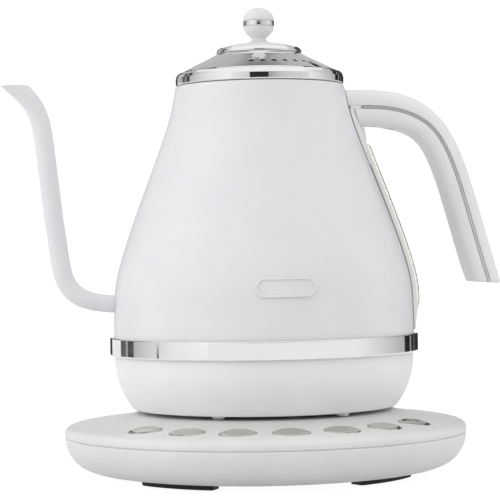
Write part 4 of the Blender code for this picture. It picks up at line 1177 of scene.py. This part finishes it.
ball = [(4.45, 255.7), (5.35, 256.5), (6.9, 257.8), (8.0, 259.2), (8.68, 260.6), (8.98, 262.1)]
ball = [tuple(p) for p in even_path(ball, 0.4, 1)]
knob = soften([(0.0, 232.0), (1.7, 232.0), (1.7, 226.2), (4.7, 226.2, 0.4), (4.7, 246.3, 0.2),
               (22.6, 246.3, 0.2), (22.75, 248.8, 0.4), (22.2, 249.6, 0.6), (18.4, 250.9, 4.0), (11.0, 252.1, 8.0),
               (6.8, 252.8, 2.5), (4.8, 253.7, 1.4), (4.2, 254.9, 0.7)], closed=False, steps=5)
knob += ball + [(8.9, 262.35), (8.6, 262.45), (3.0, 262.45), (3.0, 260.0), (0.0, 260.0)]
place(make("knob_base", bm_turned(knob, 128), [WHITE], 40), "lid", "white_plastic", "knob_lower")
kr = soften([(3.1, 262.5, 0.1), (9.1, 262.5, 0.25), (9.2, 264.0, 2.0), (9.1, 265.5, 0.25), (3.1, 265.5, 0.1)], steps=5)
place(make("knob_band", bm_turned(kr, 128), [CHROME], 40), "lid", "chrome", "knob_ring")
top = [(9.05 * math.cos(t), 265.95 + 7.45 * math.sin(t)) for t in [math.radians(d) for d in range(0, 90, 4)]]
kt = [(0.0, 260.3), (2.7, 260.3), (2.7, 265.55), (8.7, 265.55), (8.98, 265.7)] + top + [(0.0, 273.4)]
place(make("knob_cap", bm_turned(kt, 128), [WHITE], 40), "lid", "white_plastic", "knob_top")
pan = soften([(2.1, 224.9, 0.1), (40.6, 224.9, 0.9), (42.3, 226.2, 0.8), (42.3, 232.9, 0.3), (45.4, 232.9, 0.15),
              (45.4, 233.5, 0.15), (41.5, 233.5, 0.4), (41.5, 226.5, 0.5), (40.4, 225.7, 0.4), (2.1, 225.7, 0.1)])
place(make("pan", bm_turned(pan, 160), [STEEL], 38), "lid", "stainless", "lid_pan")
seal = soften([(42.95, 226.6, 0.15), (44.1, 226.6, 0.3), (44.6, 227.6, 0.4), (43.7, 228.6, 0.3),
               (44.6, 229.9, 0.4), (43.7, 231.0, 0.3), (43.7, 232.0, 0.2), (42.95, 232.0, 0.15)])
place(make("seal", bm_turned(seal, 160), [SILICONE], 38), "lid_seat", "silicone", "lid_gasket")
me = screw_mesh([(0.0, 223.0), (3.0, 223.0, 0.2), (3.4, 223.5, 0.2), (3.2, 224.5, 0.2), (1.4, 224.6),
                 (1.4, 230.8, 0.2), (0.8, 231.5), (0.0, 231.5)], 223.0, (0.35, 1.9, 0.7))
put_screw(me, "lid_fixing", 0.0, 0.0, "lid", "lid_screw")


# =============================================================== power base
def lens_outline(a, b, n):
    """A button's outline: a long oval with its ends drawn out a little."""
    pts = []
    for i in range(n):
        t = 2 * math.pi * i / n
        c, s = math.cos(t), math.sin(t)
        pts.append((a * c, b * s * (1 - 0.10 * c * c)))
    return pts


# Lower shell: a shallow bowl with bosses, counterbores and the cord hole.
shell_out = [tuple(p) for p in even_path(SHELL, 0.8)]
shell_out = [(116.6, 24.04), (117.05, 24.02), (117.3, 23.85), (117.45, 23.5)] + shell_out[1:]
inner = [(r, z) for r, z in offset_line(shell_out[4:], -2.2)]
inner = [(115.3, 24.04)] + [p for p in inner if p[1] < 23.2][:-1] + [(89.0, 4.8)]
loop = ([(0.0, 2.6), (20.0, 2.6), (21.0, 3.2), (60.0, 3.2), (61.0, 2.6)] + shell_out[::-1]
        + inner + [(0.0, 4.8)])
shell = make("base_bowl", bm_turned(loop, 256), [WHITE], 38)
bm = bmesh.new()
for a in SCREW_ANGLES:
    bm_prism(circle(5.0, 28, *polar(68.0, a)), 3.6, 9.4, bm)
combine(shell, [make("t15", bm, WHITE)], "UNION", 38)
bm = bmesh.new()
for a in SCREW_ANGLES:
    bm_prism(circle(3.4, 28, *polar(68.0, a)), 0.6, 6.2, bm)
bm2 = bmesh.new()
for a in SCREW_ANGLES:
    bm_prism(circle(1.9, 20, *polar(68.0, a)), 5.0, 12.0, bm2)
along_y = Matrix.Translation((0, 0, 14.5 * MM)) @ Matrix.Rotation(-math.pi / 2, 4, "X")
cord_cut = make("t16", bm_prism(circle(5.0, 36), 98.0, 125.0, None, along_y), WHITE)
combine(shell, [make("t17", bm, WHITE), make("t18", bm2, WHITE), cord_cut], sharp=38)
place(shell, "power_base", "white_plastic", "base_lower_shell")

# Top cover: the sloping skin, the raised plateau and a soft-edged recess for
# each button.
cov = [tuple(p) for p in even_path(COVER, 0.8)]
cov = [(116.6, 24.1), (117.05, 24.12), (117.35, 24.29), (117.6, 24.62)] + cov[1:]
inner = offset_line(cov[4:], 2.2)
inner = [(115.3, 24.1)] + [p for p in inner if p[1] > 24.9][:-1] + [(74.0, 34.6)]
loop = cov + [(22.4, 36.8), (21.5, 36.2), (21.5, 34.6)] + inner[::-1]
cover = make("base_cover", bm_turned(loop, 256), [WHITE], 38)
bm = bmesh.new()
for a in SCREW_ANGLES:
    bm_prism(circle(4.4, 28, *polar(68.0, a)), 9.7, 35.6, bm)
combine(cover, [make("t19", bm, WHITE)], "UNION", 38)
bm = bmesh.new()
for a in SCREW_ANGLES:
    bm_prism(circle(1.7, 20, *polar(68.0, a)), 5.0, 24.0, bm)
bm2 = bmesh.new()
slope = math.atan2(1.5, 10.0)
BZ0 = 32.15
for k in range(7):
    a = math.radians((k - 3) * 17.2)
    x, y = 97.0 * math.sin(a), -97.0 * math.cos(a)
    m = (Matrix.Translation((x * MM, y * MM, BZ0 * MM)) @ Matrix.Rotation(a, 4, "Z"))
    rows = []
    for sa, sb, z in ((10.5, 9.15, -9.0), (10.5, 9.15, -0.5), (10.62, 9.26, -0.2),
                      (10.85, 9.45, 0.0), (11.2, 9.7, 0.35), (11.2, 9.7, 3.0)):
        rows.append([m @ Vector((px * MM, py * MM, (z + py * math.tan(slope)) * MM))
                     for px, py in lens_outline(sa, sb, 72)])
    vs = [[bm2.verts.new(v) for v in r] for r in rows]
    for p_, q_ in zip(vs, vs[1:]):
        for j in range(72):
            bm2.faces.new((p_[j], p_[(j + 1) % 72], q_[(j + 1) % 72], q_[j]))
    bm2.faces.new(vs[0][::-1])
    bm2.faces.new(vs[-1])
combine(cover, [make("t20", bm, WHITE), make("t21", bm2, WHITE)], sharp=38)
place(cover, "power_base", "white_plastic", "base_top_cover")

# Buttons: bevelled oval caps with a softly dished top.
for k, name in enumerate(BUTTONS):
    a = math.radians((k - 3) * 17.2)
    x, y = 97.0 * math.sin(a), -97.0 * math.cos(a)
    bm = bmesh.new()
    spec = [(10.9, 9.5, -4.6), (10.9, 9.5, -3.6), (10.0, 8.6, -3.4), (10.0, 8.6, -0.4),
            (9.94, 8.54, -0.1), (9.78, 8.38, 0.12), (9.2, 7.8, 0.42), (8.6, 7.25, 0.68),
            (8.35, 7.0, 0.78), (8.0, 6.7, 0.76), (7.6, 6.3, 0.40), (6.6, 5.45, 0.34), (4.6, 3.75, 0.30),
            (2.2, 1.75, 0.28)]
    rws = []
    for sa, sb, z in spec:
        rws.append([bm.verts.new(((px) * MM, (py) * MM, (z + py * math.tan(slope)) * MM))
                    for px, py in lens_outline(sa, sb, 72)])
    for p_, q_ in zip(rws, rws[1:]):
        for j in range(72):
            bm.faces.new((p_[j], p_[(j + 1) % 72], q_[(j + 1) % 72], q_[j]))
    bm.faces.new(rws[0][::-1])
    bm.faces.new(rws[-1])
    stem = bm_prism(circle(1.8, 24), -5.6, -4.55, bm)
    bmesh.ops.rotate(bm, verts=bm.verts, cent=(0, 0, 0), matrix=Matrix.Rotation(a, 3, "Z"))
    bmesh.ops.translate(bm, verts=bm.verts, vec=(x * MM, y * MM, BZ0 * MM))
    place(make("cap_" + name, bm, [SILVER], 38), name, "silver_button", name)

# Feet: rubber arcs with soft edges and a shallow tread.
FOOT_SPAN = 32.4
for name, at in (("base_foot_front_left", -90 - 43.3), ("base_foot_front_right", -90 + 43.3),
                 ("base_foot_rear_left", 90 + 43.3), ("base_foot_rear_right", 90 - 43.3)):
    bm = bmesh.new()
    sec = soften([(80.5, 2.3, 0.1), (80.7, 0.0, 0.5), (82.6, 0.0, 0.1), (82.8, 0.18, 0.1), (83.6, 0.18, 0.1),
                  (83.8, 0.0, 0.1), (86.7, 0.0, 0.1), (86.9, 0.18, 0.1), (87.7, 0.18, 0.1), (87.9, 0.0, 0.1),
                  (89.8, 0.0, 0.5), (90.0, 2.3, 0.1)], steps=3)
    rings = []
    n_arc = 40
    for i in range(n_arc + 1):
        deg = at - FOOT_SPAN / 2 + FOOT_SPAN * i / n_arc
        c, s = math.cos(math.radians(deg)), math.sin(math.radians(deg))
        inset = 0.0
        e = min(i, n_arc - i)
        if e == 0:
            inset = 0.55
        elif e == 1:
            inset = 0.12
        mid_r = 85.25
        rings.append([((mid_r + (r - mid_r) * (1 - inset / 5)) * c,
                       (mid_r + (r - mid_r) * (1 - inset / 5)) * s,
                       z + (0.35 * inset if z < 1 else 0)) for r, z in sec])
    bm_rings(rings, bm)
    place(make(name.replace("base_foot", "pad"), bm, [RUBBER], 38), "power_base", "black_rubber", name)

me = screw_mesh([(0.0, 3.6), (2.3, 3.6, 0.3), (3.0, 4.3, 0.3), (3.0, 5.6, 0.1), (1.4, 5.9),
                 (1.4, 19.4, 0.2), (0.0, 20.2)], 3.6, (0.32, 1.7, 0.8))
for k, a in enumerate(SCREW_ANGLES):
    put_screw(me, "base_fixing_%d" % (k + 1), *polar(68.0, a), "power_base", "base_screw_%d" % (k + 1))

# Cord gland in the rear wall.
gl = soften([(3.5, 100.5, 0.2), (5.8, 100.5, 0.2), (5.8, 102.5, 0.2), (4.6, 102.5, 0.1), (4.6, 116.6, 0.3),
             (4.75, 116.9, 0.2), (4.3, 117.2, 0.3), (3.8, 117.2, 0.3), (3.5, 116.7, 0.2)])
bm = bm_turned(gl, 64)
bmesh.ops.transform(bm, matrix=along_y, verts=bm.verts)
place(make("gland", bm, [DARK], 38), "power_base", "dark_plastic", "cord_gland")

# All-round coupling: base half, contact ring, kettle half.
place(make("coupling_base", bm_turned(soften([
    (0.0, 31.6), (24.5, 31.6, 0.3), (24.5, 34.1, 0.3), (17.0, 34.1, 0.4), (17.0, 45.6, 0.5),
    (16.2, 46.5, 0.4), (13.9, 46.5, 0.3), (13.6, 46.0, 0.2), (13.6, 38.5, 0.3), (9.0, 38.5, 0.3),
    (9.0, 46.5, 0.3), (3.1, 46.5, 0.3), (3.1, 40.0, 0.2), (0.0, 40.0)]), 96), [DARK], 38),
    "power_base", "dark_plastic", "base_connector")
place(make("contact_ring", bm_turned(soften([
    (3.4, 46.8, 0.1), (8.7, 46.8, 0.1), (8.7, 47.3, 0.15), (3.4, 47.3, 0.15)]), 96), [BRASS], 38),
    "power_base", "brass", "base_contact_ring")
place(make("coupling_kettle", bm_turned(soften([
    (0.0, 41.0), (2.2, 41.0, 0.5), (2.5, 41.6, 0.3), (2.5, 47.9, 0.2), (9.5, 47.9, 0.2), (9.5, 39.2, 0.4),
    (13.0, 39.2, 0.4), (13.0, 47.2, 0.3), (17.6, 47.2, 0.3), (17.6, 39.3, 0.4), (21.0, 39.3, 0.4),
    (21.0, 41.4, 0.2), (24.0, 41.4, 0.3), (24.0, 43.2, 0.3), (21.0, 43.2, 0.2), (21.0, 56.5, 0.3),
    (0.0, 56.5)]), 96), [DARK], 38), "connector_hub", "dark_plastic", "kettle_connector")

# Inner pieces that stay as the frame has them get their own finishes.
for names, mat in ((("base_power_board", "base_button_board"), BOARD),
                   (("base_buzzer", "thermal_cutout"), DARK),
                   (("heating_element", "handle_bracket"), STEEL_LINE),
                   (("bottom_seal",), SILICONE)):
    for n in names:
        o = NODES[n]
        if not o.data.materials:
            o.data.materials.append(mat)
        for s in o.material_slots:
            s.link = "OBJECT"
            s.material = mat


# =================================================================== studio
CAM = Vector((-0.1633, -1.1378, 0.131))
VIEW = Vector((0.1392, 0.9903, 0.0)).normalized()
SIDE = Vector((VIEW.y, -VIEW.x, 0))


def stage_plane(name, size, z, color, glow, camera_sees):
    """A level matt sheet; glow adds light of its own."""
    m = Mat(name, color, 0.8, 0.0, Specular_IOR_Level=0.1)
    m.color(m.mix(m.ramp(m.noise(3.0, 4.0), 0.3, 0.7), color, tuple(min(1.0, c * 1.01) for c in color)))
    if glow:
        m.b.inputs["Emission Color"].default_value = (1, 1, 1, 1)
        m.b.inputs["Emission Strength"].default_value = glow
    bm = bmesh.new()
    bmesh.ops.create_grid(bm, x_segments=4, y_segments=4, size=size)
    me = bpy.data.meshes.new(name)
    bm.to_mesh(me)
    bm.free()
    me.materials.append(m.done())
    o = bpy.data.objects.new(name, me)
    bpy.context.scene.collection.objects.link(o)
    o.location = (0, 0, z)
    o.visible_camera = camera_sees
    o.visible_diffuse = not camera_sees
    o.visible_glossy = False
    return o


# the pale floor that is seen, and the dimmer sheet that bounces light up
stage_plane("floor", 30.0, -0.0003, (0.13, 0.13, 0.13), 0.95, True)
stage_plane("floor_bounce", 30.0, -0.0006, (0.74, 0.74, 0.74), 0.0, False)


bm = bmesh.new()
bmesh.ops.create_grid(bm, x_segments=2, y_segments=2, size=30.0)
me = bpy.data.meshes.new("floor_gloss")
bm.to_mesh(me)
bm.free()
floor_gloss = bpy.data.objects.new("floor_gloss", me)
bpy.context.scene.collection.objects.link(floor_gloss)
floor_gloss.location = (0, 0, -0.0004)
floor_gloss.visible_camera = floor_gloss.visible_diffuse = floor_gloss.visible_shadow = False
floor_gloss.visible_transmission = False


def glow_material(name, value):
    m = bpy.data.materials.new(name)
    m.use_nodes = True
    t = m.node_tree
    t.nodes.remove(t.nodes["Principled BSDF"])
    e = t.nodes.new("ShaderNodeEmission")
    e.inputs["Color"].default_value = (value, value, value, 1)
    e.inputs["Strength"].default_value = 1.0
    t.links.new(e.outputs[0], t.nodes["Material Output"].inputs["Surface"])
    return m


GLOWS = {}
floor_gloss.data.materials.append(glow_material("gloss_white", 0.93))


def curved_card(name, rows, a0, a1, camera_sees=False, radius=2.6):
    """A curved card round the object. Angles are degrees from straight behind
    it, to the right if positive; rows are (elevation, brightness) from low to
    high. Only the backdrop is seen by the camera; the rest only in
    reflections."""
    bm = bmesh.new()
    n = max(2, int(abs(a1 - a0) / 3))
    grid = []
    for el, _ in rows:
        e = math.radians(el)
        line = []
        for i in range(n + 1):
            a = math.radians(a0 + (a1 - a0) * i / n)
            d = (VIEW * math.cos(a) + SIDE * math.sin(a)) * math.cos(e) + Vector((0, 0, math.sin(e)))
            line.append(bm.verts.new(d * radius + Vector((0, 0, 0.15))))
        grid.append(line)
    me = bpy.data.meshes.new(name)
    used = []
    for (lo, hi), (_, v) in zip(zip(grid, grid[1:]), rows):
        if v not in GLOWS:
            GLOWS[v] = glow_material("card_%03d" % int(round(v * 100)), v)
        if v not in used:
            used.append(v)
        for i in range(n):
            bm.faces.new((lo[i], lo[i + 1], hi[i + 1], hi[i])).material_index = used.index(v)
    bm.to_mesh(me)
    bm.free()
    for v in used:
        me.materials.append(GLOWS[v])
    o = bpy.data.objects.new(name, me)
    bpy.context.scene.collection.objects.link(o)
    o.visible_camera = camera_sees
    o.visible_glossy = not camera_sees
    o.visible_diffuse = False
    o.visible_shadow = False
    o.visible_transmission = camera_sees
    o.visible_volume_scatter = False
    return o


def soft_rows(lo, hi, dark, light, soft, n=8):
    """A dark band from lo to hi degrees with edges that fade over soft."""
    rows = [(lo - soft + soft * k / n, light + (dark - light) * (k + 0.5) / n) for k in range(n)]
    rows += [(lo, dark)]
    rows += [(hi + soft * k / n, dark + (light - dark) * (k + 0.5) / n) for k in range(n)]
    return [(e, round(v, 2)) for e, v in rows] + [(hi + soft, light)]


def soft_columns(name, steps, lo, hi, radius):
    """Side-by-side cards (from, to, brightness), for a soft sideways fade."""
    for k, (a0, a1, v) in enumerate(steps):
        curved_card("%s_%d" % (name, k + 1), [(lo, v), (hi, v)], a0, a1, False, radius)


curved_card("backdrop", [(-20.0, 1.05), (60.0, 1.05)], -60, 60, True, 6.0)
def blend_columns(name, points, lo, hi, radius, step=3.0):
    """Narrow cards whose brightness runs through (angle, brightness) points."""
    steps = []
    for (a0, v0), (a1, v1) in zip(points, points[1:]):
        n = max(1, int(round(abs(a1 - a0) / step)))
        for k in range(n):
            f = (k + 0.5) / n
            steps.append((a0 + (a1 - a0) * k / n, a0 + (a1 - a0) * (k + 1) / n,
                          round(v0 + (v1 - v0) * f, 2)))
    soft_columns(name, steps, lo, hi, radius)


def fade_rows(points, n=8):
    """Rows whose brightness runs through (elevation, brightness) points."""
    rows = []
    for (e0, v0), (e1, v1) in zip(points, points[1:]):
        k_all = 1 if v0 == v1 else n
        for k in range(k_all):
            rows.append((e0 + (e1 - e0) * k / k_all,
                         round(v0 + (v1 - v0) * (k + 0.5) / k_all, 2)))
    return rows + [(points[-1][0], points[-1][1])]


# what the sloping lid sees: grey behind, a dark band high up
curved_card("card_back_high", fade_rows([(5, 0.50), (22, 0.56), (45, 0.50), (53, 0.15), (56, 0.05),
                                         (64, 0.05), (68, 0.95)]), -50, 50)
curved_card("card_left_streak", [(3.0, 0.02), (14.5, 0.02)], -5.5, -0.6, False, 2.3)
# dark uprights that stand as narrow lines near both edges of the band
soft_columns("card_left", [(-28, -13, 0.06), (-59.5, -50.5, 0.12), (-62.5, -59.5, 0.40), (-71, -62.5, 0.08)],
             -9.0, 34.0, 1.25)
soft_columns("card_right", [(13, 33.5, 0.03), (33.5, 36.5, 0.13), (36.5, 43.5, 0.03), (43.5, 46.2, 0.36),
                            (46.2, 56.5, 0.015)],
             -9.0, 34.0, 1.25)
blend_columns("fade_left", [(-71, 0.50), (-84, 0.67), (-110, 0.90), (-140, 1.02)], -9.0, 34.0, 1.25)
soft_columns("card_left_mark", [(-98.9, -97.3, 0.02)], -9.0, -6.15, 1.2)
blend_columns("fade_right", [(56.5, 0.46), (70, 0.58), (88, 0.74), (110, 0.92)], -9.0, 34.0, 1.25)
# what the upright collar sees towards the camera
curved_card("card_camera", [(2.5, 0.03), (8.7, 0.28), (22.0, 0.28)], 180 - 12.0, 180 + 13.0, False, 1.5)
blend_columns("card_front_right", [(110, 0.76), (145, 0.66), (168, 0.40)], 2.5, 30.0, 1.55)
blend_columns("card_front_left", [(193, 0.70), (217, 0.90)], 2.5, 30.0, 1.55)

world = bpy.data.worlds.new("studio")
bpy.context.scene.world = world
world.use_nodes = True
bg = world.node_tree.nodes["Background"]
bg.inputs["Color"].default_value = (1.0, 1.0, 1.0, 1.0)
bg.inputs["Strength"].default_value = 1.0


def area(name, where, aim, size, power, color=(1, 1, 1)):
    d = bpy.data.lights.new(name, "AREA")
    d.shape = "RECTANGLE"
    d.size, d.size_y = size
    d.energy = power
    d.color = color
    o = bpy.data.objects.new(name, d)
    bpy.context.scene.collection.objects.link(o)
    o.location = where
    o.rotation_mode = "QUATERNION"
    o.rotation_quaternion = (Vector(aim) - Vector(where)).to_track_quat("-Z", "Y")
    o.visible_glossy = False
    o.visible_camera = False
    return o


area("key_left", (-1.8, -0.5, 0.8), (0, 0, 0.12), (1.4, 1.2), 5.5)
area("low_left", (-1.5, 0.15, 0.07), (0, 0, 0.08), (0.9, 0.5), 2.5)
area("low_right", (1.5, 0.10, 0.08), (0, 0, 0.08), (0.9, 0.5), 2.6)
area("top", (0.0, 0.2, 1.9), (0, 0, 0.1), (1.6, 1.6), 2.5)

cam_data = bpy.data.cameras.new("camera")
cam_data.sensor_width = 36.0
cam_data.lens = 1953.0 / 500.0 * 36.0
cam_data.clip_start = 0.05
cam_data.clip_end = 40.0
cam = bpy.data.objects.new("camera", cam_data)
bpy.context.scene.collection.objects.link(cam)
cam.location = CAM
q = VIEW.to_track_quat("-Z", "Y")
cam.rotation_mode = "QUATERNION"
cam.rotation_quaternion = q @ Quaternion((0, 0, 1), math.radians(-0.98))
bpy.context.scene.camera = cam
bpy.context.scene.view_settings.view_transform = "Standard"
